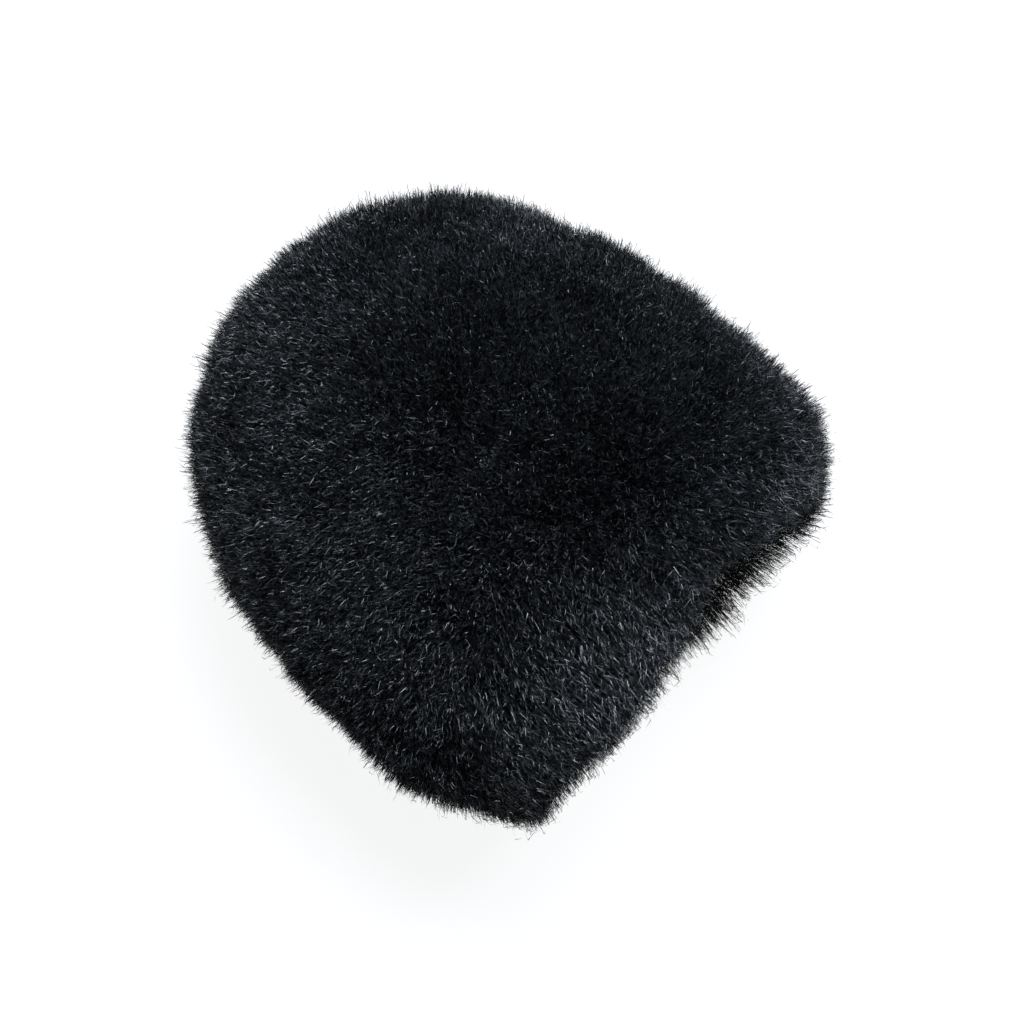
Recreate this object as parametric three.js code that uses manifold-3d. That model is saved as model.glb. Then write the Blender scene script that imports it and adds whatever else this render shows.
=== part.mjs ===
// A slip-on fur windscreen for a handheld sound recorder, lying on its broad face as it rests on a table.
// It is a soft pouch: a top and a bottom panel, each a bell-shaped outline, joined by one side gusset that runs
// from the right corner of the mouth around the dome to the left corner. Fur, foam and lining repeat that cut.
// The mouth is gathered by an elastic that runs inside a folded hem binding.
//
// Millimetres, +Z up. X is the width, the mouth faces -Y and the dome points to +Y. The origin is the middle of
// the underside's bounding box.

import * as THREE from 'three';
import { ParametricGeometry } from 'three/addons/geometries/ParametricGeometry.js';
import { mergeVertices } from 'three/addons/utils/BufferGeometryUtils.js';
import Module from 'manifold-3d';

const wasm = await Module();
wasm.setup();

// ---------------------------------------------------------------------------------------- driving dimensions

// A skin is one closed surface of the pouch. half is its half-width at the widest place and mouthHalf at the
// mouth. length runs from the fringe to the dome. top and bottom are its heights from the seam plane where the
// pouch is fullest, and mouthTop and mouthBottom at the mouth. The mouth sizes hold as far back as neckY.
const FUR_TIPS = {
  sizes: { half: 73.5, mouthHalf: 61, length: 144.5, top: 43.5, mouthTop: 28, bottom: 50, mouthBottom: 29 },
  neckY: 0,
};
const BACKING = {
  sizes: { half: 58, mouthHalf: 47, length: 130, top: 26.5, mouthTop: 17.5, bottom: 29, mouthBottom: 17.5 },
  neckY: 7,
};

const HEM_Y = BACKING.neckY; // the fur fringe hangs this far past the folded hem
const WIDEST_Y = 40;
const FULLEST_Y = 55;
const FLOOR_BELOW_SEAM_PLANE = 38;
const DOME_POWER = 2.25;
const PILLOW_POWER = 2.2;

const LAYER_GAP = 0.5;
const FOAM_THICK = 4;
const LINING_THICK = 0.8;
const TAPE_THICK = 0.6;
const BINDING_THICK = 0.8;
const BINDING_WIDTH = 13;
const ELASTIC_THICK = 1.2;
const ELASTIC_WIDTH = 9.5;
const BINDING_CLEARANCE = 0.6; // from the backing to the binding, and from the binding to foam and lining
const THREAD_RADIUS = 0.3;
const LINING_THREAD_RADIUS = 0.24;

const SEAM_ANGLE = THREE.MathUtils.degToRad(30);
const SEWN_GAP = 1.3; // from a seam to the edge of the cloth beside it, measured across the seam plane
const FOAM_GAP = 0.5;
const TAPE_SPREAD = 6;
const POLE = Math.PI / 2;

const FRONT_STITCH_INSET = 2; // from the fold of the hem to the first row of stitching
const BACK_STITCH_INSET = 2.5; // from the binding's raw edge to the second row
const TAPE_SETBACK = 2; // from the binding to the ends of the seam tapes
const BINDING_BACK_Y = HEM_Y + BINDING_WIDTH;
const LAYER_FRONT_Y = BINDING_BACK_Y + BINDING_CLEARANCE;
const TAPE_FRONT_Y = BINDING_BACK_Y + TAPE_SETBACK;
const FRONT_STITCH_Y = HEM_Y + FRONT_STITCH_INSET;
const BACK_STITCH_Y = BINDING_BACK_Y - BACK_STITCH_INSET;
const ELASTIC_FRONT_Y = HEM_Y + BINDING_THICK + LAYER_GAP;
const ELASTIC_JOIN = 4; // room at the bottom of the ring for the join between the elastic's two ends
const JOIN_STITCH = { width: 1.8, length: ELASTIC_WIDTH - 1, thick: ELASTIC_THICK - 0.3 };
const SEAM_THREAD_SHARE = 0.06; // how far the panel threads lie from the backing's inner face to the fur tips

const OUTLINE_STEPS = 28;
const PANEL_STEPS = 6;
const RING_STEPS = 48;
const THREAD_SIDES = 5;
const HALVINGS = 48; // steps of each search for a turning point

// Depths below the backing's inner face.
const FOAM_OUTER = LAYER_GAP;
const FOAM_INNER = FOAM_OUTER + FOAM_THICK;
const LINING_OUTER = FOAM_INNER + LAYER_GAP;
const LINING_INNER = LINING_OUTER + LINING_THICK;
const TAPE_OUTER = LINING_INNER + LAYER_GAP;
const TAPE_INNER = TAPE_OUTER + TAPE_THICK;
const BINDING_OUTER = BINDING_CLEARANCE;
const ELASTIC_OUTER = BINDING_OUTER + BINDING_THICK + LAYER_GAP;
const ELASTIC_INNER = ELASTIC_OUTER + ELASTIC_THICK;
const BINDING_INNER = ELASTIC_INNER + LAYER_GAP + BINDING_THICK;

// ------------------------------------------------------------------------------------------- pouch surfaces

// The skin lying depth mm inside the backing's inner face.
function inset(depth) {
  const moved = Object.entries(BACKING.sizes).map(([name, size]) => [name, size - depth]);
  return { sizes: Object.fromEntries(moved), neckY: BACKING.neckY };
}

// A skin part of the way from the backing's inner face to the fur tips.
function intoFur(share) {
  const moved = Object.entries(BACKING.sizes).map(([name, size]) => {
    return [name, THREE.MathUtils.lerp(size, FUR_TIPS.sizes[name], share)];
  });
  const neckY = THREE.MathUtils.lerp(BACKING.neckY, FUR_TIPS.neckY, share);
  return { sizes: Object.fromEntries(moved), neckY };
}

// A size that swells from its value at the mouth to its full value at fullY.
function swell(skin, full, atMouth, y, fullY) {
  const left = Math.max(fullY - Math.max(y, skin.neckY), 0) / (fullY - skin.neckY);
  return full - (full - atMouth) * left ** 2;
}

function halfWidth(skin, y) {
  const { half, mouthHalf, length } = skin.sizes;
  if (y < WIDEST_Y) return swell(skin, half, mouthHalf, y, WIDEST_Y);
  const along = Math.min((y - WIDEST_Y) / (length - WIDEST_Y), 1);
  return half * (1 - along ** DOME_POWER) ** (1 / DOME_POWER);
}

function height(skin, y, above) {
  const { top, mouthTop, bottom, mouthBottom } = skin.sizes;
  if (above) return swell(skin, top, mouthTop, y, FULLEST_Y);
  return swell(skin, bottom, mouthBottom, y, FULLEST_Y);
}

// The value in [low, high] at which a test that starts true turns false.
function turningPoint(low, high, test) {
  for (let step = 0; step < HALVINGS; step += 1) {
    const middle = (low + high) / 2;
    if (test(middle)) low = middle;
    else high = middle;
  }
  return low;
}

// Distance from the middle of the mouth to the bell outline, in the direction heading from +X.
function outlineRadius(skin, heading) {
  const across = Math.abs(Math.cos(heading));
  const along = Math.sin(heading);
  const { length } = skin.sizes;
  return turningPoint(0, 2 * length, (r) => r * along <= length && r * across <= halfWidth(skin, r * along));
}

// The point of a skin at a heading round the outline and a latitude, which is 0 in the seam plane and a
// quarter turn over the middle of the mouth.
function skinPoint(skin, heading, latitude) {
  const reach = outlineRadius(skin, heading) * Math.cos(latitude) ** (2 / PILLOW_POWER);
  const x = reach * Math.cos(heading);
  const y = reach * Math.sin(heading);
  const rise = Math.abs(Math.sin(latitude)) ** (2 / PILLOW_POWER) * height(skin, y, latitude > 0);
  return new THREE.Vector3(x, y, Math.max(Math.sign(latitude) * rise, -FLOOR_BELOW_SEAM_PLANE));
}

// The point of a skin on the ring around the pouch at y, found along a ray from the ring's middle.
function ringPoint(skin, y, turn) {
  const above = Math.sin(turn) >= 0;
  const side = Math.sign(Math.cos(turn));
  const across = side * Math.abs(Math.cos(turn)) ** (2 / PILLOW_POWER) * halfWidth(skin, y);
  const rise = Math.abs(Math.sin(turn)) ** (2 / PILLOW_POWER) * height(skin, y, above);
  const scale = turningPoint(0, 2, (k) => {
    const outward = Math.hypot(k * across, y) / outlineRadius(skin, Math.atan2(y, k * across));
    return outward ** PILLOW_POWER + (k * rise / height(skin, y, above)) ** PILLOW_POWER <= 1;
  });
  return new THREE.Vector3(scale * across, y, scale * rise * (above ? 1 : -1));
}

// ------------------------------------------------------------------------------------------- closed solids

// One closed body from a geometry whose shared points repeat: the points are merged, faces with no area are
// dropped, and all faces are turned to point out.
function closed(geometry) {
  geometry.deleteAttribute('normal');
  geometry.deleteAttribute('uv');
  const merged = mergeVertices(geometry);
  const corners = merged.getIndex().array;
  const kept = [];
  let volume = 0;
  const [a, b, c] = [new THREE.Vector3(), new THREE.Vector3(), new THREE.Vector3()];
  for (let start = 0; start < corners.length; start += 3) {
    const [i, j, k] = corners.slice(start, start + 3);
    if (i === j || j === k || k === i) continue;
    kept.push(i, j, k);
    a.fromBufferAttribute(merged.attributes.position, i);
    b.fromBufferAttribute(merged.attributes.position, j);
    c.fromBufferAttribute(merged.attributes.position, k);
    volume += a.dot(b.cross(c));
  }
  if (volume < 0) kept.reverse();
  merged.setIndex(kept);
  merged.computeVertexNormals();
  return merged;
}

// A solid swept through stations. section lists the points of its closed outline, and folded lists, point for
// point, where each goes when the outline is folded flat to close an end. A loop of stations needs no ends.
function sweep(stationCount, section, folded, isLoop, pointAt) {
  const columns = isLoop ? stationCount : stationCount + 1;
  return closed(new ParametricGeometry((u, v, target) => {
    const column = Math.round(u * columns);
    const row = Math.round(v * section.length) % section.length;
    const isEnd = !isLoop && (column === 0 || column === columns);
    const station = isLoop ? column % stationCount : THREE.MathUtils.clamp(column - 1, 0, stationCount - 1);
    target.copy(pointAt(station, isEnd ? folded[row] : section[row]));
  }, columns, section.length));
}

// A panel or strip of cloth between two skins. Each of its two edges is a latitude and a gap, which moves the
// edge up from that latitude by the same width all round the outline.
function panel(outer, inner, from, to, steps = PANEL_STEPS) {
  const edges = Array.from({ length: steps + 1 }, (_, step) => ({
    latitude: THREE.MathUtils.lerp(from.latitude, to.latitude, step / steps),
    gap: THREE.MathUtils.lerp(from.gap, to.gap, step / steps),
  }));
  const outside = edges.map((edge) => ({ skin: outer, ...edge }));
  const inside = edges.map((edge) => ({ skin: inner, ...edge }));
  const section = [...outside, ...inside.toReversed()];
  const folded = [...inside, ...inside.toReversed()];
  return sweep(OUTLINE_STEPS + 1, section, folded, false, (station, { skin, latitude, gap }) => {
    const heading = Math.PI * station / OUTLINE_STEPS;
    return skinPoint(skin, heading, latitude + gap / outlineRadius(BACKING, heading));
  });
}

// Points of a small circle, as steps sideways and outward.
function circle(radius) {
  return Array.from({ length: THREAD_SIDES }, (_, side) => {
    const turn = 2 * Math.PI * side / THREAD_SIDES;
    return { sideways: radius * Math.cos(turn), outward: radius * Math.sin(turn) };
  });
}

// A thread in the gap of a seam, centred on a skin at a latitude. Its first and last steps stop short of the
// mouth, where the panels end.
function seamThread(skin, latitude, radius) {
  const centre = { sideways: 0, outward: 0 };
  const section = circle(radius);
  const headingAt = (station) => Math.PI * station / OUTLINE_STEPS;
  const place = (station, { sideways, outward }) => {
    const heading = headingAt(station + 1);
    const here = skinPoint(skin, heading, latitude);
    const level = new THREE.Vector3(-Math.cos(heading), -Math.sin(heading), 0);
    const across = new THREE.Vector3(0, 0, 1).addScaledVector(level, 1).normalize();
    const out = new THREE.Vector3(0, 0, 1).addScaledVector(level, -1).normalize();
    if (latitude < 0) [across.z, out.z] = [-across.z, -out.z];
    return here.addScaledVector(across, sideways).addScaledVector(out, outward);
  };
  return sweep(OUTLINE_STEPS - 1, section, section.map(() => centre), false, place);
}

// A ring around the mouth. Each section point is a depth below the backing's inner face and a y.
function mouthRing(section) {
  return sweep(RING_STEPS, section, [], true, (station, { depth, y }) => {
    return ringPoint(inset(depth), y, 2 * Math.PI * station / RING_STEPS);
  });
}

// The hem binding: one strip folded around the elastic, open towards the dome.
function foldedBinding() {
  const [hem, middle, back] = [HEM_Y, HEM_Y + BINDING_WIDTH / 2, BINDING_BACK_Y];
  const [outerLeg, innerLeg] = [BINDING_OUTER + BINDING_THICK, BINDING_INNER - BINDING_THICK];
  return mouthRing([
    { depth: BINDING_OUTER, y: hem },
    { depth: BINDING_OUTER, y: middle },
    { depth: BINDING_OUTER, y: back },
    { depth: outerLeg, y: back },
    { depth: outerLeg, y: middle },
    { depth: outerLeg, y: hem + BINDING_THICK },
    { depth: innerLeg, y: hem + BINDING_THICK },
    { depth: innerLeg, y: middle },
    { depth: innerLeg, y: back },
    { depth: BINDING_INNER, y: back },
    { depth: BINDING_INNER, y: middle },
    { depth: BINDING_INNER, y: hem },
  ]);
}

// The elastic: a flat strip bent into a ring, with its two ends apart at the bottom of the mouth.
function elasticStrip() {
  const [front, back] = [ELASTIC_FRONT_Y, ELASTIC_FRONT_Y + ELASTIC_WIDTH];
  const openTurn = Math.atan2(ELASTIC_JOIN / 2, BACKING.sizes.mouthHalf - ELASTIC_INNER);
  const section = [
    { depth: ELASTIC_OUTER, y: front },
    { depth: ELASTIC_OUTER, y: back },
    { depth: ELASTIC_INNER, y: back },
    { depth: ELASTIC_INNER, y: front },
  ];
  const folded = [section[3], section[2], section[2], section[3]];
  return sweep(RING_STEPS + 1, section, folded, false, (station, { depth, y }) => {
    const turn = THREE.MathUtils.lerp(openTurn, 2 * Math.PI - openTurn, station / RING_STEPS);
    return ringPoint(inset(depth), y, turn - POLE);
  });
}

// The patch of zigzag stitching that joins the elastic's ends, lying in the gap between them.
function elasticJoin() {
  const patch = new THREE.BoxGeometry(JOIN_STITCH.width, JOIN_STITCH.length, JOIN_STITCH.thick);
  const skin = inset((ELASTIC_OUTER + ELASTIC_INNER) / 2);
  const front = ringPoint(skin, ELASTIC_FRONT_Y, -POLE);
  const back = ringPoint(skin, ELASTIC_FRONT_Y + ELASTIC_WIDTH, -POLE);
  patch.rotateX(Math.atan2(back.z - front.z, back.y - front.y));
  patch.translate(0, (front.y + back.y) / 2, (front.z + back.z) / 2);
  return closed(patch);
}

// A row of stitching on the inside of the mouth.
function stitchRow(y, surfaceDepth) {
  const centreDepth = surfaceDepth + LAYER_GAP + THREAD_RADIUS;
  const section = circle(THREAD_RADIUS).map(({ sideways, outward }) => {
    return { depth: centreDepth - outward, y: y + sideways };
  });
  return mouthRing(section);
}

// The part of a solid that lies behind the plane y = frontY.
function cutFront(geometry, frontY) {
  const side = 4 * FUR_TIPS.sizes.length; // a block large enough to hold the whole pouch
  const keep = new THREE.BoxGeometry(side, side, side).translate(0, frontY + side / 2, 0);
  const [solid, region] = [geometry, closed(keep)].map((shape) => new wasm.Manifold(new wasm.Mesh({
    numProp: 3,
    vertProperties: new Float32Array(shape.attributes.position.array),
    triVerts: new Uint32Array(shape.getIndex().array),
  })));
  const mesh = solid.intersect(region).getMesh();
  const cut = new THREE.BufferGeometry();
  cut.setAttribute('position', new THREE.BufferAttribute(mesh.vertProperties, 3));
  cut.setIndex(new THREE.BufferAttribute(mesh.triVerts, 1));
  cut.computeVertexNormals();
  return cut;
}

// -------------------------------------------------------------------------------------------------- assembly

const CLOTH = {
  fur: { color: 0x15181b, roughness: 0.9 },
  foam: { color: 0x24262a, roughness: 1 },
  lining: { color: 0x101114, roughness: 0.7 },
  tape: { color: 0x1a1b1e, roughness: 0.8 },
  binding: { color: 0x111215, roughness: 0.75 },
  elastic: { color: 0x1d1d20, roughness: 0.65 },
  thread: { color: 0x0d0d0f, roughness: 0.55 },
};

const windscreen = new THREE.Group();
windscreen.position.set(0, -FUR_TIPS.sizes.length / 2, FLOOR_BELOW_SEAM_PLANE);

function add(name, geometry, cloth) {
  const mesh = new THREE.Mesh(geometry, new THREE.MeshStandardMaterial({ ...CLOTH[cloth], metalness: 0 }));
  mesh.name = name;
  windscreen.add(mesh);
}

// Each layer's three panels share the same seams, and gap is left on both sides of each seam.
function addLayer(cloth, outer, inner, gap, frontY) {
  const cuts = {
    top_panel: [{ latitude: SEAM_ANGLE, gap }, { latitude: POLE, gap: 0 }],
    bottom_panel: [{ latitude: -SEAM_ANGLE, gap: -gap }, { latitude: -POLE, gap: 0 }],
    side_gusset: [{ latitude: -SEAM_ANGLE, gap }, { latitude: SEAM_ANGLE, gap: -gap }],
  };
  for (const [piece, [from, to]] of Object.entries(cuts)) {
    const whole = panel(outer, inner, from, to);
    add(`${cloth}_${piece}`, frontY > 0 ? cutFront(whole, frontY) : whole, cloth);
  }
}

addLayer('fur', FUR_TIPS, BACKING, SEWN_GAP, 0);
addLayer('foam', inset(FOAM_OUTER), inset(FOAM_INNER), FOAM_GAP, LAYER_FRONT_Y);
addLayer('lining', inset(LINING_OUTER), inset(LINING_INNER), SEWN_GAP, LAYER_FRONT_Y);

const LINING_MIDDLE = inset((LINING_OUTER + LINING_INNER) / 2);
const BACKING_MIDDLE = intoFur(SEAM_THREAD_SHARE);
for (const [side, latitude] of [['top', SEAM_ANGLE], ['bottom', -SEAM_ANGLE]]) {
  add(`fur_seam_thread_${side}`, seamThread(BACKING_MIDDLE, latitude, THREAD_RADIUS), 'thread');
  const liningThread = seamThread(LINING_MIDDLE, latitude, LINING_THREAD_RADIUS);
  add(`lining_seam_thread_${side}`, cutFront(liningThread, LAYER_FRONT_Y), 'thread');
  const tapeEdge = (gap) => ({ latitude, gap });
  const tape = panel(inset(TAPE_OUTER), inset(TAPE_INNER), tapeEdge(-TAPE_SPREAD), tapeEdge(TAPE_SPREAD), 2);
  add(`seam_tape_${side}`, cutFront(tape, TAPE_FRONT_Y), 'tape');
}

add('hem_binding', foldedBinding(), 'binding');
add('hem_elastic', elasticStrip(), 'elastic');
add('elastic_join_stitch', elasticJoin(), 'thread');
add('hem_stitch_row_front', stitchRow(FRONT_STITCH_Y, BINDING_INNER), 'thread');
add('hem_stitch_row_back', stitchRow(BACK_STITCH_Y, BINDING_INNER), 'thread');

export default windscreen;
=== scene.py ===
"""A slip-on fur windscreen for a handheld sound recorder, lying on its broad face.

The pouch is sewn from a top panel, a bottom panel and one side gusset. Each has a knitted backing with a long
pile, a sheet of foam and a thin lining. An elastic inside a folded binding gathers the mouth. Lengths are in
metres.
"""

import logging
import math
from dataclasses import dataclass, replace
from enum import Enum
from functools import lru_cache
from typing import Any, Sequence

import bmesh
import bpy
import numpy as np
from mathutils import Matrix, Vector


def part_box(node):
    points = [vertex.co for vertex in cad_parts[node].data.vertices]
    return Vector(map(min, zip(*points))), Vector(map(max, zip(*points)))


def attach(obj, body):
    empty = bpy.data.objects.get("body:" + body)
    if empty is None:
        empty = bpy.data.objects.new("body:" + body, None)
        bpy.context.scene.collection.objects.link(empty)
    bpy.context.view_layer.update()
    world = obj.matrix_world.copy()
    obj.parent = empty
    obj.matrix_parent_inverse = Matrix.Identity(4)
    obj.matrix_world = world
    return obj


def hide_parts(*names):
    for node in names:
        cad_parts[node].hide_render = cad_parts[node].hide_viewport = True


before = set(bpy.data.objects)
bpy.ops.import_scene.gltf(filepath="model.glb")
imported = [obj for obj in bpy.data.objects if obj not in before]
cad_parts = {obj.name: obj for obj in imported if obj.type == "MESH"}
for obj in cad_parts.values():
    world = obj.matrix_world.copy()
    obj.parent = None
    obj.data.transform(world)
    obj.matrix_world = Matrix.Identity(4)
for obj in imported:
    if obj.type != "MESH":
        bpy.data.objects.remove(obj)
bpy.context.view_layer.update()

SEED = 20261
BODY = "root"
CLOTH_UV = "Cloth"

Colour = tuple[float, float, float]

log = logging.getLogger("windscreen")

MM = 0.001
CM2 = 0.0001

# The mouth's fringe and the seam plane, in the shared frame.
MOUTH_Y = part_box("fur_side_gusset")[0][1]
SEAM_PLANE_Z = (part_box("hem_binding")[0][2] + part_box("hem_binding")[1][2]) / 2

# Places behind the fringe: where the pouch is widest and fullest, and where the hem, layers and tapes start.
WIDEST_Y = 40 * MM
FULLEST_Y = 55 * MM
HEM_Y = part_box("hem_binding")[0][1] - MOUTH_Y
LAYER_FRONT_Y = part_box("lining_top_panel")[0][1] - MOUTH_Y
TAPE_FRONT_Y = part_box("seam_tape_top")[0][1] - MOUTH_Y

# The powers of the superellipses that round the dome and the pouch's section, and the latitude of both seams.
DOME_POWER = 2.25
PILLOW_POWER = 2.2
SEAM_ANGLE = math.radians(30)

# From a seam to the cloth's edge, and between two layers.
SEWN_GAP = 1.3 * MM
LAYER_GAP = 0.5 * MM

# How far tips may hang past the fringe before they are held back, and how softly they are.
FRINGE_DROP = 11.5 * MM
FRINGE_GIVE = 2 * MM

# Points closer than this are one, and this much length is no length at all.
WELD = 1e-6
NOTHING = 1e-12

# How often an interval is halved in search of a surface or the outline, and in how many directions that is known.
SKIN_HALVINGS = 34
OUTLINE_HALVINGS = 40
OUTLINE_DIRECTIONS = 4001

# Smooth noise: the shortest and longest wave as shares of its wavelength, and the height of its usual peaks.
WAVE_SHARES = (0.7, 1.5)
NOISE_PEAK = 1.6

# Threads have this many sides. No thread runs in the askew direction, which sets where its circles start.
THREAD_SIDES = 6
ASKEW = (0.13, 0.21, 0.97)


class Cut(Enum):
    """The three pieces that every layer is cut into."""

    TOP = "top_panel"
    BOTTOM = "bottom_panel"
    SIDE = "side_gusset"


# ------------------------------------------------------------------------------------------------- pouch surfaces


@dataclass(frozen=True)
class Skin:
    """One closed surface of the pouch, measured from the middle of the mouth's fringe and from the seam plane."""

    half: float
    mouth_half: float
    length: float
    top: float
    mouth_top: float
    bottom: float
    mouth_bottom: float
    neck: float

    def inset(self, depth: float) -> "Skin":
        """Return the skin that lies depth inside this one."""
        shrunk = ("half", "mouth_half", "length", "top", "mouth_top", "bottom", "mouth_bottom")
        return replace(self, **{size: getattr(self, size) - depth for size in shrunk})

    def swell(self, full: float, mouth: float, y: np.ndarray, full_y: float) -> np.ndarray:
        """Grow a size from its value at the mouth to its full value, as a parabola that is level at full_y.

        Args:
            full: The size at full_y and beyond.
            mouth: The size from the mouth back to the neck.
            y: Distances from the fringe.
            full_y: The distance at which the size is full.

        Returns:
            The size at each y.
        """
        left = np.clip(full_y - np.maximum(y, self.neck), 0, None) / (full_y - self.neck)
        return full - (full - mouth) * left**2

    def half_width(self, y: np.ndarray) -> np.ndarray:
        """Give half the outline's width: a parabola up to the widest place, then a superellipse to the dome.

        Args:
            y: Distances from the fringe.

        Returns:
            The half-width at each y.
        """
        along = np.clip((y - WIDEST_Y) / (self.length - WIDEST_Y), 0, 1)
        dome = self.half * (1 - along**DOME_POWER) ** (1 / DOME_POWER)
        return np.where(y < WIDEST_Y, self.swell(self.half, self.mouth_half, y, WIDEST_Y), dome)

    def height(self, y: np.ndarray, above: np.ndarray) -> np.ndarray:
        """Give the pouch's height over or under the seam plane on its centre line.

        Args:
            y: Distances from the fringe.
            above: True where the height over the seam plane is wanted.

        Returns:
            The heights, all positive.
        """
        over = self.swell(self.top, self.mouth_top, y, FULLEST_Y)
        under = self.swell(self.bottom, self.mouth_bottom, y, FULLEST_Y)
        return np.where(above, over, under)

    @lru_cache(maxsize=None)
    def outline_table(self) -> tuple[np.ndarray, np.ndarray]:
        """Find how far the bell outline is from the middle of the fringe, by halving an interval.

        Returns:
            Directions in the seam plane from +X, and the distance in each.
        """
        heading = np.linspace(0, np.pi, OUTLINE_DIRECTIONS)
        across, along = np.abs(np.cos(heading)), np.sin(heading)
        low, high = np.zeros_like(heading), np.full_like(heading, 2 * self.length)
        for _ in range(OUTLINE_HALVINGS):
            middle = (low + high) / 2
            inside = (middle * along <= self.length) & (middle * across <= self.half_width(middle * along))
            low, high = np.where(inside, middle, low), np.where(inside, high, middle)
        return heading, low

    def outline_radius(self, heading: np.ndarray) -> np.ndarray:
        """Look up the distance to the outline in each direction."""
        return np.interp(heading, *self.outline_table())

    def plan_share(self, x: np.ndarray, y: np.ndarray) -> np.ndarray:
        """Give how far out a plan point is, as a share of the outline's distance in its direction."""
        return np.hypot(x, y) / self.outline_radius(np.arctan2(y, x))

    def top_latitude(self, front: float) -> float:
        """Give the latitude of the centre line at y = front, where the top and bottom panels' front edges meet."""
        return math.acos((front / self.length) ** (PILLOW_POWER / 2))

    def point(self, heading: np.ndarray, latitude: np.ndarray, front: float) -> np.ndarray:
        """Give points of the skin behind the plane y = front, in the shared frame.

        A ray leaves the centre line at y = front in the plan direction heading, and stops where the plan share is
        cos(latitude) to the power 2 over the pillow power. The height there is the centre line's height times
        sin(latitude) to the same power.

        Args:
            heading: Plan directions from +X, from 0 at the mouth's right corner to pi at its left.
            latitude: Angles over the seam plane, negative under it.
            front: Where the surface starts, from the fringe.

        Returns:
            An array with the inputs' shape and a last axis of x, y and z.
        """
        heading, latitude = np.broadcast_arrays(np.asarray(heading, float), np.asarray(latitude, float))
        share = np.cos(latitude) ** (2 / PILLOW_POWER)
        along_x, along_y = np.cos(heading), np.sin(heading)
        low, high = np.zeros_like(heading), np.full_like(heading, 1.5 * self.length)
        for _ in range(SKIN_HALVINGS):
            middle = (low + high) / 2
            inside = self.plan_share(middle * along_x, front + middle * along_y) <= share
            low, high = np.where(inside, middle, low), np.where(inside, high, middle)
        x, y = low * along_x, front + low * along_y
        rise = np.abs(np.sin(latitude)) ** (2 / PILLOW_POWER) * self.height(y, latitude > 0)
        return np.stack([x, y + MOUTH_Y, SEAM_PLANE_Z + np.sign(latitude) * rise], axis=-1)

    def ring(self, y: np.ndarray, turn: np.ndarray) -> np.ndarray:
        """Give points on the ring around the pouch at y, in the shared frame.

        The ring is a superellipse with the half-width and height at y, drawn in until the plan share and the share
        of the height, both to the pillow power, add up to 1.

        Args:
            y: Distances from the fringe.
            turn: Angles around the ring from +X.

        Returns:
            An array with the inputs' shape and a last axis of x, y and z.
        """
        y, turn = np.broadcast_arrays(np.asarray(y, float), np.asarray(turn, float))
        above = np.sin(turn) >= 0
        across = np.sign(np.cos(turn)) * np.abs(np.cos(turn)) ** (2 / PILLOW_POWER) * self.half_width(y)
        tall = np.abs(np.sin(turn)) ** (2 / PILLOW_POWER)
        low, high = np.zeros_like(turn), np.full_like(turn, 1.5)
        for _ in range(SKIN_HALVINGS):
            middle = (low + high) / 2
            out = self.plan_share(middle * across, y) ** PILLOW_POWER + (middle * tall) ** PILLOW_POWER
            low, high = np.where(out <= 1, middle, low), np.where(out <= 1, high, middle)
        rise = np.where(above, 1, -1) * low * tall * self.height(y, above)
        return np.stack([low * across, y + MOUTH_Y, SEAM_PLANE_Z + rise], axis=-1)


FUR_TIPS = Skin(
    half=73.5 * MM,
    mouth_half=61 * MM,
    length=144.5 * MM,
    top=43.5 * MM,
    mouth_top=28 * MM,
    bottom=50 * MM,
    mouth_bottom=29 * MM,
    neck=0.0,
)
BACKING = Skin(
    half=58 * MM,
    mouth_half=47 * MM,
    length=130 * MM,
    top=26.5 * MM,
    mouth_top=17.5 * MM,
    bottom=29 * MM,
    mouth_bottom=17.5 * MM,
    neck=HEM_Y,
)


def unit(vectors: np.ndarray) -> np.ndarray:
    """Scale vectors along the last axis to length 1."""
    return vectors / np.maximum(np.linalg.norm(vectors, axis=-1, keepdims=True), NOTHING)


def smooth_noise(points: np.ndarray, wavelength: float, seed: int) -> np.ndarray:
    """Sum sine waves that run in random directions through space.

    Args:
        points: Places, with a last axis of 3.
        wavelength: Mean length of one wave.
        seed: Starts the random directions and phases.

    Returns:
        One value for each point, mostly between -1 and 1.
    """
    waves = 12
    rng = np.random.default_rng(seed)
    directions = unit(rng.normal(size=(waves, 3)))
    directions = directions * 2 * np.pi / (wavelength * rng.uniform(*WAVE_SHARES, (waves, 1)))
    phases = rng.uniform(0, 2 * np.pi, waves)
    return np.sin(points @ directions.T + phases).sum(-1) / math.sqrt(waves / 2) / NOISE_PEAK


# -------------------------------------------------------------------------------------------------------- meshes


def new_piece(name: str, mesh: bpy.types.Mesh) -> bpy.types.Object:
    """Put a mesh in the scene as a piece that rides on the body.

    Args:
        name: The piece's name.
        mesh: Its mesh, in the shared frame.

    Returns:
        The new object.
    """
    piece = bpy.data.objects.new(name, mesh)
    bpy.context.scene.collection.objects.link(piece)
    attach(piece, BODY)
    return piece


def raw_mesh(name: str, points: np.ndarray, corners: np.ndarray, starts: np.ndarray) -> bpy.types.Mesh:
    """Fill a mesh from flat arrays.

    Args:
        name: The mesh's name.
        points: One row of x, y and z for each vertex.
        corners: The vertices of all faces, one face after another.
        starts: Where each face starts in corners.

    Returns:
        The mesh.
    """
    mesh = bpy.data.meshes.new(name)
    mesh.vertices.add(len(points))
    mesh.vertices.foreach_set("co", points.astype(np.float32).ravel())
    mesh.loops.add(len(corners))
    mesh.loops.foreach_set("vertex_index", corners.astype(np.int32).ravel())
    mesh.polygons.add(len(starts))
    mesh.polygons.foreach_set("loop_start", starts.astype(np.int32))
    mesh.update(calc_edges=True)
    return mesh


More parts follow.
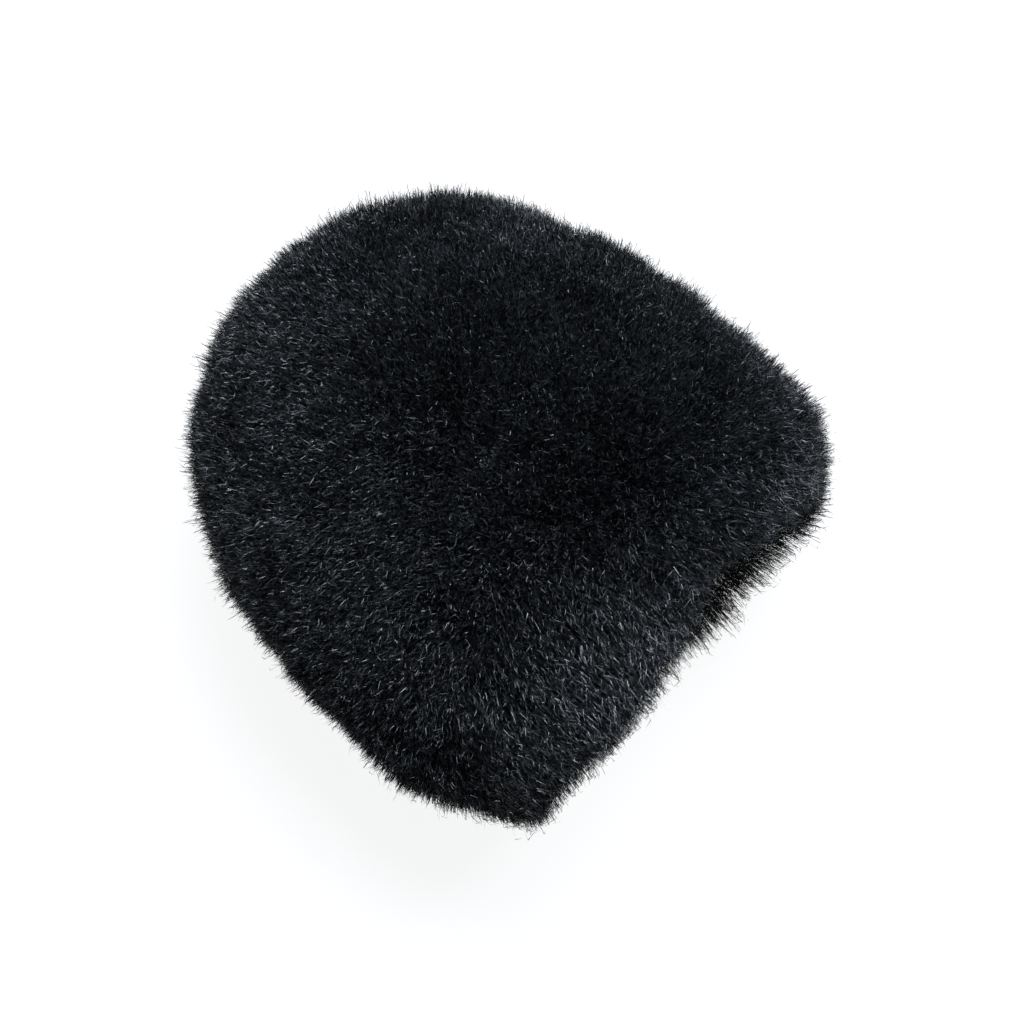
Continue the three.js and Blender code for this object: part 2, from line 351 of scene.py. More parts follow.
def quads_mesh(name: str, points: np.ndarray, faces: np.ndarray, uv: np.ndarray) -> bpy.types.Mesh:
    """Make a smooth mesh of quads whose coinciding points are welded and whose faces point outwards.

    Args:
        name: The mesh's name.
        points: Vertices, any shape with a last axis of 3.
        faces: Four vertices for each face.
        uv: A cloth coordinate for each vertex.

    Returns:
        The mesh.
    """
    faces = faces.reshape(-1, 4)
    mesh = raw_mesh(name, points.reshape(-1, 3), faces.ravel(), np.arange(len(faces)) * 4)
    layer = mesh.uv_layers.new(name=CLOTH_UV)
    layer.uv.foreach_set("vector", uv.reshape(-1, 2)[faces.ravel()].astype(np.float32).ravel())
    work = bmesh.new()
    work.from_mesh(mesh)
    bmesh.ops.remove_doubles(work, verts=work.verts, dist=WELD)
    bmesh.ops.recalc_face_normals(work, faces=work.faces)
    work.to_mesh(mesh)
    work.free()
    mesh.polygons.foreach_set("use_smooth", np.ones(len(mesh.polygons), bool))
    return mesh


def grid_quads(rows: int, columns: int, wrap_rows: bool = False, wrap_columns: bool = False) -> np.ndarray:
    """List the quads of a grid of vertices numbered row by row.

    Args:
        rows: Number of rows.
        columns: Number of columns.
        wrap_rows: True if the last row joins the first.
        wrap_columns: True if the last column joins the first.

    Returns:
        Four vertices for each quad.
    """
    row = np.arange(rows if wrap_rows else rows - 1)[:, None]
    column = np.arange(columns if wrap_columns else columns - 1)[None, :]
    below, beside = (row + 1) % rows, (column + 1) % columns
    quads = [row * columns + column, row * columns + beside, below * columns + beside, below * columns + column]
    return np.stack(np.broadcast_arrays(*quads), axis=-1).reshape(-1, 4)


def shell(name: str, outside: np.ndarray, inside: np.ndarray, uv: np.ndarray) -> bpy.types.Mesh:
    """Make a closed piece of cloth from its two faces, which are grids of the same shape.

    The outside's columns and then the inside's columns in reverse make a closed loop in each row, and the first
    and last rows are capped by quads from the one face to the other.

    Args:
        name: The mesh's name.
        outside: Points of the outer face, shaped rows by columns by 3.
        inside: Points of the inner face, of the same shape.
        uv: A cloth coordinate for each grid place, shaped rows by columns by 2.

    Returns:
        The mesh.
    """
    rows, columns = outside.shape[:2]
    points = np.concatenate([outside, inside[:, ::-1]], axis=1)
    coordinates = np.concatenate([uv, uv[:, ::-1]], axis=1)
    walls = grid_quads(rows, 2 * columns, wrap_columns=True)
    step = np.arange(columns - 1)
    cap = np.stack([step, step + 1, 2 * columns - 2 - step, 2 * columns - 1 - step], axis=-1)
    faces = np.concatenate([walls, cap, cap + (rows - 1) * 2 * columns])
    return quads_mesh(name, points, faces, coordinates)


def panel_grid(cut: Cut, gap: float, front: float, skin: Skin, rows: int, columns: int) -> tuple[np.ndarray, ...]:
    """Give the headings and latitudes of one cut, with a gap left at each seam.

    Args:
        cut: The panel.
        gap: From the seam to the cloth's edge, measured across the seam plane.
        front: Where the panel starts, from the fringe.
        skin: The skin whose centre line sets the latitude of the front edge's middle.
        rows: Steps of heading.
        columns: Steps of latitude.

    Returns:
        Two arrays shaped rows by columns.
    """
    heading = np.linspace(0, np.pi, rows)[:, None]
    share = np.linspace(0, 1, columns)[None, :]
    edge = gap / BACKING.outline_radius(heading)
    middle = skin.top_latitude(front)
    low, high = {
        Cut.TOP: (SEAM_ANGLE + edge, middle + 0 * edge),
        Cut.BOTTOM: (-SEAM_ANGLE - edge, -middle + 0 * edge),
        Cut.SIDE: (edge - SEAM_ANGLE, SEAM_ANGLE - edge),
    }[cut]
    return np.broadcast_arrays(heading, low + (high - low) * share)


def cloth_uv(points: np.ndarray) -> np.ndarray:
    """Measure a grid of points in metres along its middle row and each row's own columns.

    Args:
        points: The grid, shaped rows by columns by 3.

    Returns:
        Coordinates shaped rows by columns by 2.
    """
    down = np.linalg.norm(np.diff(points, axis=0), axis=-1).mean(axis=1)
    along = np.linalg.norm(np.diff(points, axis=1), axis=-1)
    u = np.concatenate([[0], np.cumsum(down)])
    v = np.concatenate([np.zeros((len(points), 1)), np.cumsum(along, axis=1)], axis=1)
    return np.stack([np.broadcast_to(u[:, None], v.shape), v], axis=-1)


def thread_length(name: str, path: np.ndarray, radius: float) -> bpy.types.Mesh:
    """Carry a circle along a path, kept square to it, and close its ends by drawing them to a point.

    Args:
        name: The mesh's name.
        path: Points shaped count by 3.
        radius: The circle's radius.

    Returns:
        The mesh, whose cloth coordinates run in metres along and around.
    """
    ahead = np.roll(path, -1, axis=0) - np.roll(path, 1, axis=0)
    ahead[0], ahead[-1] = path[1] - path[0], path[-1] - path[-2]
    ahead = unit(ahead)
    level = unit(np.cross(ahead, ASKEW))
    upright = np.cross(level, ahead)
    turn = np.linspace(0, 2 * np.pi, THREAD_SIDES, endpoint=False)
    reach = np.concatenate([[0], np.full(len(path), radius), [0]])
    path, level, upright = (np.concatenate([part[:1], part, part[-1:]]) for part in (path, level, upright))
    circle = level[:, None] * np.cos(turn)[None, :, None] + upright[:, None] * np.sin(turn)[None, :, None]
    points = path[:, None] + circle * reach[:, None, None]
    faces = grid_quads(len(points), THREAD_SIDES, wrap_columns=True)
    gone = np.concatenate([[0], np.cumsum(np.linalg.norm(np.diff(path, axis=0), axis=-1))])
    uv = np.stack(np.broadcast_arrays(gone[:, None], (turn * radius)[None, :]), axis=-1)
    return quads_mesh(name, points, faces, uv)


def joined(name: str, meshes: Sequence[bpy.types.Mesh]) -> bpy.types.Mesh:
    """Join meshes into one, and remove the originals.

    Args:
        name: The new mesh's name.
        meshes: The meshes.

    Returns:
        The joined mesh, shaded smooth.
    """
    work = bmesh.new()
    for mesh in meshes:
        work.from_mesh(mesh)
        bpy.data.meshes.remove(mesh)
    result = bpy.data.meshes.new(name)
    work.to_mesh(result)
    work.free()
    result.polygons.foreach_set("use_smooth", np.ones(len(result.polygons), bool))
    return result


# ------------------------------------------------------------------------------------------------------ finishes


class Signal:
    """A shader socket that takes part in Python arithmetic."""

    def __init__(self, desk: "NodeDesk", socket: bpy.types.NodeSocket) -> None:
        """Hold an output socket and the desk that its tree is built on."""
        self.desk = desk
        self.socket = socket

    def _maths(self, operation: str, first: Any, second: Any = 0.0) -> "Signal":
        """Add one Math node and return its value."""
        return self.desk.add("ShaderNodeMath", {"operation": operation}, {0: first, 1: second}, "Value")

    def __add__(self, other: Any) -> "Signal":
        """Add a value."""
        return self._maths("ADD", self, other)

    __radd__ = __add__

    def __sub__(self, other: Any) -> "Signal":
        """Take a value away."""
        return self._maths("SUBTRACT", self, other)

    def __rsub__(self, other: Any) -> "Signal":
        """Take this from a value."""
        return self._maths("SUBTRACT", other, self)

    def __mul__(self, other: Any) -> "Signal":
        """Multiply by a value."""
        return self._maths("MULTIPLY", self, other)

    __rmul__ = __mul__

    def sine(self) -> "Signal":
        """Give the sine."""
        return self._maths("SINE", self)

    def size(self) -> "Signal":
        """Give the value without its sign."""
        return self._maths("ABSOLUTE", self)

    def over(self, edge: float) -> "Signal":
        """Give 1 where the value is over edge, else 0."""
        return self._maths("GREATER_THAN", self, edge)


class NodeDesk:
    """Builds one material's node tree around its Principled shader."""

    def __init__(self, name: str) -> None:
        """Start a material with a bare Principled shader.

        Args:
            name: The material's name.
        """
        self.material = bpy.data.materials.new(name)
        self.material.use_nodes = True
        self.tree = self.material.node_tree
        self.shader = self.tree.nodes["Principled BSDF"]

    def add(self, kind: str, settings: dict[str, Any], inputs: dict[Any, Any], output: str) -> Signal:
        """Add a node.

        Args:
            kind: The node's type.
            settings: Properties, set before the sockets.
            inputs: Values or signals for its sockets, by name or number.
            output: The wanted output.

        Returns:
            The output as a signal.
        """
        node = self.tree.nodes.new(kind)
        for name, value in settings.items():
            setattr(node, name, value)
        for name, value in inputs.items():
            self.feed(node.inputs[name], value)
        return Signal(self, node.outputs[output])

    def feed(self, socket: bpy.types.NodeSocket, value: Any) -> None:
        """Link a signal to a socket, or set its value.

        Args:
            socket: The input socket.
            value: A signal or a value of the socket's own kind.
        """
        if isinstance(value, Signal):
            self.tree.links.new(value.socket, socket)
        else:
            socket.default_value = value

    def set_shader(self, **inputs: Any) -> None:
        """Feed the Principled shader's sockets, named with _ for a space."""
        for name, value in inputs.items():
            self.feed(self.shader.inputs[name.replace("_", " ")], value)

    def place(self) -> Signal:
        """Give object coordinates."""
        return self.add("ShaderNodeTexCoord", {}, {}, "Object")

    def cloth(self) -> tuple[Signal, Signal]:
        """Read the piece's cloth coordinates.

        Returns:
            Metres along and across the piece.
        """
        uv = self.add("ShaderNodeUVMap", {"uv_map": CLOTH_UV}, {}, "UV")
        split = self.tree.nodes.new("ShaderNodeSeparateXYZ")
        self.feed(split.inputs[0], uv)
        return Signal(self, split.outputs["X"]), Signal(self, split.outputs["Y"])

    def noise(self, scale: float, detail: float) -> Signal:
        """Give noise from 0 to 1 on object coordinates, with scale patches to the metre."""
        inputs = {"Vector": self.place(), "Scale": scale, "Detail": detail, "Roughness": 0.55}
        return self.add("ShaderNodeTexNoise", {}, inputs, "Fac")

    def blend(self, share: Any, first: tuple[float, ...], second: tuple[float, ...]) -> Signal:
        """Mix two colours.

        Args:
            share: How much of the second, from 0 to 1.
            first: Red, green and blue.
            second: The same.

        Returns:
            The mixed colour.
        """
        node = self.tree.nodes.new("ShaderNodeMix")
        node.data_type = "RGBA"
        colours = [socket for socket in node.inputs if socket.type == "RGBA"]
        self.feed(node.inputs["Factor"], share)
        self.feed(colours[0], (*first, 1.0))
        self.feed(colours[1], (*second, 1.0))
        return Signal(self, next(socket for socket in node.outputs if socket.type == "RGBA"))

    def bump(self, height: Signal, distance: float) -> Signal:
        """Turn a height from 0 to 1 into a normal, where 1 stands distance proud."""
        inputs = {"Height": height, "Distance": distance, "Strength": 1.0}
        return self.add("ShaderNodeBump", {}, inputs, "Normal")


@dataclass(frozen=True)
class FibreShade:
    """One shade of the pile's fibres: a fine, satin, very dark acrylic. The darkest, matte shades go on the shafts
    as painted shade.
    """

    name: str
    colour: Colour
    roughness: float
    shine: float

    def material(self) -> bpy.types.Material:
        """Make the shade's finish. A fibre is far thinner than any pattern, so a shade is one colour all over; a
        fibre's shaft and tip take their own shades.

        Returns:
            The material.
        """
        desk = NodeDesk(self.name)
        desk.set_shader(
            Base_Color=(*self.colour, 1.0),
            Roughness=self.roughness,
            Specular_IOR_Level=self.shine,
        )
        return desk.material


# Shades from darkest to lightest. The two darkest, matte ones are painted shade: the shafts take them to stand for
# the shade deep in the pile, so that mostly the tips catch the light. Tips take any shade.
PILE_SHADES = (
    FibreShade("pile_root", (0.0008, 0.0011, 0.0014), 0.75, 0.06),
    FibreShade("pile_deep", (0.0014, 0.0018, 0.0023), 0.60, 0.20),
    FibreShade("pile_black", (0.0026, 0.0033, 0.0041), 0.48, 0.45),
    FibreShade("pile_charcoal", (0.0055, 0.0066, 0.0079), 0.44, 0.75),
    FibreShade("pile_slate", (0.0120, 0.0140, 0.0163), 0.48, 0.85),
    FibreShade("pile_silver_tip", (0.0260, 0.0295, 0.0335), 0.48, 0.85),
)


@dataclass(frozen=True)
class KnitBacking:
    """The knitted ground that the pile grows from: fine wales crossed by looser courses."""

    wale: float = 0.9 * MM
    course: float = 0.7 * MM
    lint_per_metre: float = 900.0
    # groove is the painted shade between the loops; ridge is the loops' own colour.
    groove: Colour = (0.004, 0.0045, 0.005)
    ridge: Colour = (0.018, 0.020, 0.023)

    def material(self) -> bpy.types.Material:
        """Make a matte black knit with a loop relief whose grooves are painted darker as shade, and lint that
        lightens its high spots.

        Returns:
            The material.
        """
        desk = NodeDesk("knit_backing")
        u, v = desk.cloth()
        wales = (u * (math.pi / self.wale)).sine().size()
        courses = (v * (2 * math.pi / self.course) + (u * (math.pi / self.wale)).sine() * 2.0).sine()
        loops = wales * (courses * 0.3 + 0.7)
        lint = desk.noise(self.lint_per_metre, 4.0)
        # Painted shade: the colour is darker in the knit's grooves, where the loops are low; the lint is lighter.
        desk.set_shader(
            Base_Color=desk.blend(loops * 0.7 + lint * 0.3, self.groove, self.ridge),
            Roughness=0.95 - loops * 0.15,
            Normal=desk.bump(loops + lint * 0.25, 0.25 * MM),
            Sheen_Weight=0.1,
        )
        return desk.material


@dataclass(frozen=True)
class OpenCellFoam:
    """Charcoal open-cell foam with pores of about half a millimetre."""

    pore: float = 0.55 * MM
    mottle_per_metre: float = 140.0
    # pit is the painted shade inside the pores; strut is the foam's own colour.
    pit: Colour = (0.004, 0.0042, 0.0046)
    strut: Colour = (0.042, 0.044, 0.048)

    def material(self) -> bpy.types.Material:
        """Make a matte foam whose pores are painted as dark pits of shade between lighter struts.

        Returns:
            The material.
        """
        desk = NodeDesk("open_cell_foam")
        inputs = {"Vector": desk.place(), "Scale": 1.0 / self.pore, "Randomness": 0.95}
        cells = desk.add("ShaderNodeTexVoronoi", {"feature": "F1"}, inputs, "Distance")
        mottle = desk.noise(self.mottle_per_metre, 3.0)
        # Painted shade: darker towards each pore's middle, where the bump is lowest; the mottle is random tone.
        desk.set_shader(
            Base_Color=desk.blend(cells * 0.8 + mottle * 0.3, self.pit, self.strut),
            Roughness=0.9 + mottle * 0.1,
            Normal=desk.bump(cells, 0.3 * MM),
        )
        return desk.material


@dataclass(frozen=True)
class TricotLining:
    """Thin warp-knitted lining: straight fine ribs with a soft sheen."""

    rib: float = 0.65 * MM
    stitch: float = 0.45 * MM
    creases_per_metre: float = 60.0
    # groove is the painted shade between the ribs and in the creases; ridge is the cloth's own colour.
    groove: Colour = (0.0045, 0.0048, 0.0055)
    ridge: Colour = (0.021, 0.022, 0.025)

    def material(self) -> bpy.types.Material:
        """Make a satin knit with ribs along the panel, small chevrons across them and soft creases. Its colour is
        painted darker in the grooves and in the creases' hollows, as shade.

        Returns:
            The material.
        """
        desk = NodeDesk("tricot_lining")
        u, v = desk.cloth()
        ribs = (u * (math.pi / self.rib)).sine().size()
        chevrons = (v * (2 * math.pi / self.stitch) + ribs * 2.4).sine()
        weave = ribs * (chevrons * 0.25 + 0.75)
        creases = desk.noise(self.creases_per_metre, 2.0)
        # Painted shade: darker in the grooves between ribs and where the creases sink.
        desk.set_shader(
            Base_Color=desk.blend(weave * 0.6 + creases * 0.4, self.groove, self.ridge),
            Roughness=0.62 - weave * 0.14 + creases * 0.1,
            Normal=desk.bump(weave * 0.25 + creases * 0.9, 0.5 * MM),
            Sheen_Weight=0.15,
            Sheen_Roughness=0.35,
        )
        return desk.material


@dataclass(frozen=True)
class WovenStrip:
    """A narrow woven strip: a twill with rounded yarns, painted lighter on its ridges than in its grooves as shade,
    and worn lighter in patches.
    """

    name: str
    yarn: float
    # dark is the painted shade in the grooves; light is the lightest the yarn gets, on the ridges, worn patches and
    # lint.
    dark: Colour
    light: Colour
    roughness: float
    wear_per_metre: float = 210.0
    lint_per_metre: float = 1500.0
    lint_rarity: float = 0.72

    def material(self) -> bpy.types.Material:
        """Make the twill: diagonal ridges cut by the yarns, with painted shade in the grooves so that the high
        spots look lighter, worn patches and stray lint.

        Returns:
            The material.
        """
        desk = NodeDesk(self.name)
        u, v = desk.cloth()
        twill = ((u + v) * (math.pi / (2 * self.yarn))).sine().size()
        warp, weft = ((along * (math.pi / self.yarn)).sine().size() for along in (u, v))
        yarns = warp * 0.5 + weft * 0.5
        weave = twill * 0.55 + yarns * 0.45
        wear = desk.noise(self.wear_per_metre, 4.0)
        lint = desk.noise(self.lint_per_metre, 2.0).over(self.lint_rarity)
        # Painted shade: the colour is darker in the twill's grooves; the worn patches and lint are lighter.
        desk.set_shader(
            Base_Color=desk.blend(weave * 0.6 + wear * 0.35 + lint * 0.4, self.dark, self.light),
            Roughness=self.roughness - weave * 0.1 + wear * 0.08,
            Normal=desk.bump(weave + lint * 0.3, 0.16 * MM),
            Sheen_Weight=0.08,
        )
        return desk.material


@dataclass(frozen=True)
class RibbedElastic:
    """Woven elastic: rubber ribs along it, wrapped in cross yarns that open as it stretches."""

    rib: float = 1.0 * MM
    wrap: float = 0.4 * MM
    wear_per_metre: float = 300.0
    # groove is the painted shade between ribs and wraps; ridge is the elastic's own colour.
    groove: Colour = (0.006, 0.006, 0.0065)
    ridge: Colour = (0.032, 0.033, 0.035)

    def material(self) -> bpy.types.Material:
        """Make the ribs along the strip and the fine wraps across them, with the grooves between them painted
        darker as shade.

        Returns:
            The material.
        """
        desk = NodeDesk("ribbed_elastic")
        u, v = desk.cloth()
        ribs = (v * (math.pi / self.rib)).sine().size()
        wraps = (u * (math.pi / self.wrap)).sine().size()
        lay = ribs * 0.7 + wraps * 0.3
        wear = desk.noise(self.wear_per_metre, 3.0)
        # Painted shade: darker in the grooves between the ribs and wraps; the wear is random tone.
        desk.set_shader(
            Base_Color=desk.blend(lay * 0.7 + wear * 0.3, self.groove, self.ridge),
            Roughness=0.7 - lay * 0.18,
            Normal=desk.bump(lay, 0.3 * MM),
        )
        return desk.material


@dataclass(frozen=True)
class TwistedThread:
    """Spun polyester sewing thread, three plies twisted together."""

    twist: float = 0.8 * MM
    fuzz_per_metre: float = 2200.0
    # groove is the painted shade between the plies; ply is the thread's own colour.
    groove: Colour = (0.003, 0.003, 0.0033)
    ply: Colour = (0.024, 0.025, 0.028)

    def material(self) -> bpy.types.Material:
        """Make the plies' slanted ridges and their grooves, which are painted dark as shade.

        Returns:
            The material.
        """
        desk = NodeDesk("twisted_thread")
        u, v = desk.cloth()
        plies = (u * (math.pi / self.twist) + v * (math.pi / (0.5 * self.twist))).sine().size()
        fuzz = desk.noise(self.fuzz_per_metre, 2.0)
        # Painted shade: darker in the grooves between the plies.
        desk.set_shader(
            Base_Color=desk.blend(plies * 0.8 + fuzz * 0.2, self.groove, self.ply),
            Roughness=0.6 - plies * 0.2,
            Normal=desk.bump(plies + fuzz * 0.2, 0.08 * MM),
            Sheen_Weight=0.1,
        )
        return desk.material


@dataclass(frozen=True)
class Wardrobe:
    """Every finish of the windscreen, made once."""

    pile: tuple[bpy.types.Material, ...]
    backing: bpy.types.Material
    foam: bpy.types.Material
    lining: bpy.types.Material
    tape: bpy.types.Material
    binding: bpy.types.Material
    elastic: bpy.types.Material
    thread: bpy.types.Material

    @classmethod
    def make(cls) -> "Wardrobe":
        """Make all the materials.

        Returns:
            The finished set.
        """
        # Each strip's dark colour is painted shade for its grooves.
        tape = WovenStrip("seam_tape", 0.5 * MM, (0.005, 0.005, 0.0056), (0.026, 0.027, 0.03), 0.8)
        binding = WovenStrip("hem_binding", 0.42 * MM, (0.0042, 0.0045, 0.005), (0.022, 0.024, 0.027), 0.72)
        return cls(
            pile=tuple(shade.material() for shade in PILE_SHADES),
            backing=KnitBacking().material(),
            foam=OpenCellFoam().material(),
            lining=TricotLining().material(),
            tape=tape.material(),
            binding=binding.material(),
            elastic=RibbedElastic().material(),
            thread=TwistedThread().material(),
        )


def dress(piece: bpy.types.Object, material: bpy.types.Material, slot: str, *nodes: str) -> bpy.types.Object:
    """Give a piece its material, and hide the CAD nodes that it stands for.

    Args:
        piece: The piece.
        material: Its finish.
        slot: A material slot's name. It is not used.
        *nodes: CAD nodes that it replaces.

    Returns:
        The piece.
    """
    piece.data.materials.append(material)
    if nodes:
        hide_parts(*nodes)
    log.info("%s: %d faces", piece.name, len(piece.data.polygons))
    return piece


# ---------------------------------------------------------------------------------------------------------- pile


@dataclass(frozen=True)
class Locks:
    """Guide fibres, one for each lock of pile. All arrays have one row for each lock."""

    root: np.ndarray
    normal: np.ndarray
    lean: np.ndarray
    length: np.ndarray
    clump: np.ndarray

    def take(self, chosen: np.ndarray) -> "Locks":
        """Keep only the chosen locks."""
        return Locks(*(getattr(self, name)[chosen] for name in self.__dataclass_fields__))


@dataclass(frozen=True)
class BrushMark:
    """A place, in millimetres, where the pile was pushed over or pulled out longer. It fades as a bell curve."""

    place: tuple[float, float, float]
    radius: float
    toward: tuple[float, float, float]
    longer: float = 0.0

    def strength(self, root: np.ndarray) -> np.ndarray:
        """Give the mark's strength at each root, from 0 to 1."""
        return np.exp(-((root - np.array(self.place) * MM) ** 2).sum(-1) / self.radius**2)

    def push(self, root: np.ndarray) -> np.ndarray:
        """Give the sideways push at each root."""
        return self.strength(root)[:, None] * np.array(self.toward)


BRUSH_MARKS = (
    BrushMark((46, 8, 58), 12 * MM, (-0.9, -0.5, -0.1)),
    BrushMark((-8, 32, 64), 13 * MM, (-0.7, 0.2, -0.1)),
    BrushMark((-31, -10, 62), 15 * MM, (-0.6, 0.0, -0.1)),
    BrushMark((-14, 50, 54), 12 * MM, (-0.6, 0.3, -0.1)),
    BrushMark((21, 45, 56), 20 * MM, (0.3, -0.2, 0.6)),
    BrushMark((50, -30, 54), 22 * MM, (0.1, 0.1, 0.6)),
    BrushMark((58, 16, 44), 20 * MM, (0.0, 0.0, 0.0), -0.10),
    BrushMark((-22, -62, 47), 22 * MM, (0.2, -1.4, 0.0), 0.55),
    BrushMark((-51, -62, 38), 13 * MM, (0.7, -0.5, -0.2), -0.12),
    BrushMark((-38, -64, 44), 12 * MM, (0.1, -0.9, 0.0), 0.20),
    BrushMark((-62, -50, 38), 12 * MM, (-0.3, 0.0, 0.0), 0.12),
    BrushMark((15, -66, 53), 9 * MM, (0.0, 0.5, 0.0), -0.25),
    BrushMark((46, -67, 40), 9 * MM, (0.0, 0.8, 0.0), -0.33),
    BrushMark((59, -55, 40), 14 * MM, (0.7, 0.0, 0.0), 0.20),
)


@dataclass(frozen=True)
class Trim:
    """How long the pile is cut, in shares of the way to its mean tips, and how far its length varies."""

    mean: float = 0.81
    tuft: float = 0.05
    tuft_size: float = 22 * MM
    wisp: float = 0.07
    wisp_size: float = 6 * MM
    uneven: float = 0.05
    shortest: float = 13.5 * MM


@dataclass(frozen=True)
class Comb:
    """How strongly the pile is turned aside by its parting, in patches and swirls, at random and by the marks."""

    parting_y: float = 4 * MM
    parted: float = 0.30
    patch: float = 0.2
    patch_size: float = 36 * MM
    swirl: float = 0.26
    swirl_size: float = 8 * MM
    own: float = 0.12
    at_root: float = 0.35


@dataclass(frozen=True)
class HemLap:
    """What changes towards the hem, where the pile is denser and longer and is brushed over the binding."""

    reach: float = 26 * MM
    denser: float = 0.8
    longer: float = 0.2
    clumped: float = 0.4
    over: tuple[float, float, float] = (0.0, -1.0, -0.06)
    brushed: float = 1.15
    power: float = 1.4


@dataclass(frozen=True)
class Tones:
    """How shades are spread, in steps of PILE_SHADES. Patches and long fibres are lighter, and shafts darker: the
    dark shafts are painted shade for the depth of the pile.
    """

    middle: float = 2.8
    patch: float = 0.4
    patch_size: float = 26 * MM
    mixed: float = 1.5
    whole: float = 0.9
    longer: float = 2.0
    shaft: float = 3.2


@dataclass(frozen=True)
class Pile:
    """The long pile on one panel of backing.

    Each lock has a guide fibre that leaves the backing square to it and bends towards its lean. Its fibres start
    around the guide's root, bend their own way, and are drawn to the guide along their length. A fibre is a narrow
    ribbon that is pointed at both ends and widest at its knee, a tip's length from its end. Every smooth noise has
    its own offset from the pile's seed.
    """

    cut: Cut
    sectors: tuple[str, ...]
    fibres: int
    seed: int
    trim: Trim = Trim()
    comb: Comb = Comb()
    hem: HemLap = HemLap()
    tones: Tones = Tones()

    # The steps of heading and latitude that roots are scattered over, and how far towards the tips they lie.
    grid: tuple[int, int] = (241, 61)
    ground: float = 0.08

    # Fibres in a lock, how far their roots scatter, their width and its range, and the range of their tips' length.
    per_lock: int = 8
    spread: float = 1.0 * MM
    width: float = 0.15 * MM
    widths: tuple[float, float] = (0.7, 1.3)
    tip: tuple[float, float] = (0.6 * MM, 1.5 * MM)

    # The share of short fibres and the range of their length, and the mean and spread of the others' length.
    short_share: float = 0.35
    short: tuple[float, float] = (0.5, 0.85)
    whole: tuple[float, float] = (0.96, 0.08)

    # How far a fibre strays from its lock's lean, how upright it leaves the backing, and how its tip curls.
    stray: float = 0.42
    upright: float = 0.55
    curl: float = 0.55

    # How strongly locks are drawn together, each fibre's own range of it, its share at root, knee and tip, and how
    # far apart the fibres still end.
    clump: tuple[float, float] = (0.05, 0.4)
    drawn: tuple[float, float] = (0.5, 1.1)
    drawn_along: tuple[float, float, float] = (0.0, 0.45, 1.0)
    apart: float = 0.3

    # Millimetres that fibres pressed to the floor stay clear of it: the least, and the range above it.
    clear: tuple[float, float] = (0.15, 0.9)

    def surface(self, heading: np.ndarray, latitude: np.ndarray) -> tuple[np.ndarray, np.ndarray]:
        """Find where the pile starts and where it mostly ends.

        Args:
            heading: Plan directions.
            latitude: Angles over the seam plane.

        Returns:
            The pile's ground and its mean tips, which rest on the floor where they would pass it.
        """
        inner = BACKING.point(heading, latitude, HEM_Y)
        tips = FUR_TIPS.point(heading, latitude, 0.0)
        tips[..., 2] = np.maximum(tips[..., 2], 0.0)
        return inner + (tips - inner) * self.ground, tips

    def scatter(self, count: int, rng: np.random.Generator) -> Locks:
        """Scatter locks evenly over the panel, closer together along the hem.

        The panel is a grid of headings and latitudes. A cell is drawn with a chance in proportion to its area, and
        the place in it is drawn evenly, so all that is known at the cell's corners is blended between them.

        Args:
            count: How many locks.
            rng: The random source.

        Returns:
            The locks, in order of heading.
        """
        middle = BACKING.top_latitude(HEM_Y)
        low, high = {
            Cut.TOP: (SEAM_ANGLE, middle),
            Cut.BOTTOM: (-middle, -SEAM_ANGLE),
            Cut.SIDE: (-SEAM_ANGLE, SEAM_ANGLE),
        }[self.cut]
        heading, latitude = np.linspace(0, np.pi, self.grid[0]), np.linspace(low, high, self.grid[1])
        root, tip = self.surface(heading[:, None], latitude[None, :])
        facing = np.cross(np.gradient(root, axis=0), np.gradient(root, axis=1))
        hem = np.clip(1 - (root[..., 1] - MOUTH_Y - HEM_Y) / self.hem.reach, 0, 1)
        weight = (np.linalg.norm(facing, axis=-1) * (1 + self.hem.denser * hem**2))[:-1, :-1]
        cell = np.sort(rng.choice(weight.size, count, p=(weight / weight.sum()).ravel()))
        row, column = np.divmod(cell, weight.shape[1])
        down, over = rng.uniform(size=(2, count, 1))

        def blended(values: np.ndarray) -> np.ndarray:
            """Blend the values at a cell's corners.

            Args:
                values: One row of values for each place of the grid.

            Returns:
                One row of values for each lock.
            """
            near = values[row, column] * (1 - over) + values[row, column + 1] * over
            far = values[row + 1, column] * (1 - over) + values[row + 1, column + 1] * over
            return near * (1 - down) + far * down

        start, end, near_hem = blended(root), blended(tip), blended(hem[..., None])[:, 0]
        reach = end - start
        normal = unit(blended(unit(facing)))
        normal *= np.sign((normal * reach).sum(-1, keepdims=True))
        normal = unit(normal + self.comb.at_root * sum(mark.push(start) for mark in BRUSH_MARKS))
        lean = unit(unit(reach) + self.aside(start, near_hem, rng))
        length = np.maximum(np.linalg.norm(reach, axis=-1), self.trim.shortest)
        tufts = smooth_noise(start, self.trim.tuft_size, self.seed + 41) * self.trim.tuft
        tufts += smooth_noise(start, self.trim.wisp_size, self.seed + 43) * self.trim.wisp
        pulled = sum(mark.longer * mark.strength(start) for mark in BRUSH_MARKS)
        length *= self.trim.mean + tufts + pulled + rng.normal(0, self.trim.uneven, count)
        length *= 1 + self.hem.longer * near_hem
        clump = rng.uniform(*self.clump, count) + self.hem.clumped * near_hem
        return Locks(start, normal, lean, length, clump)

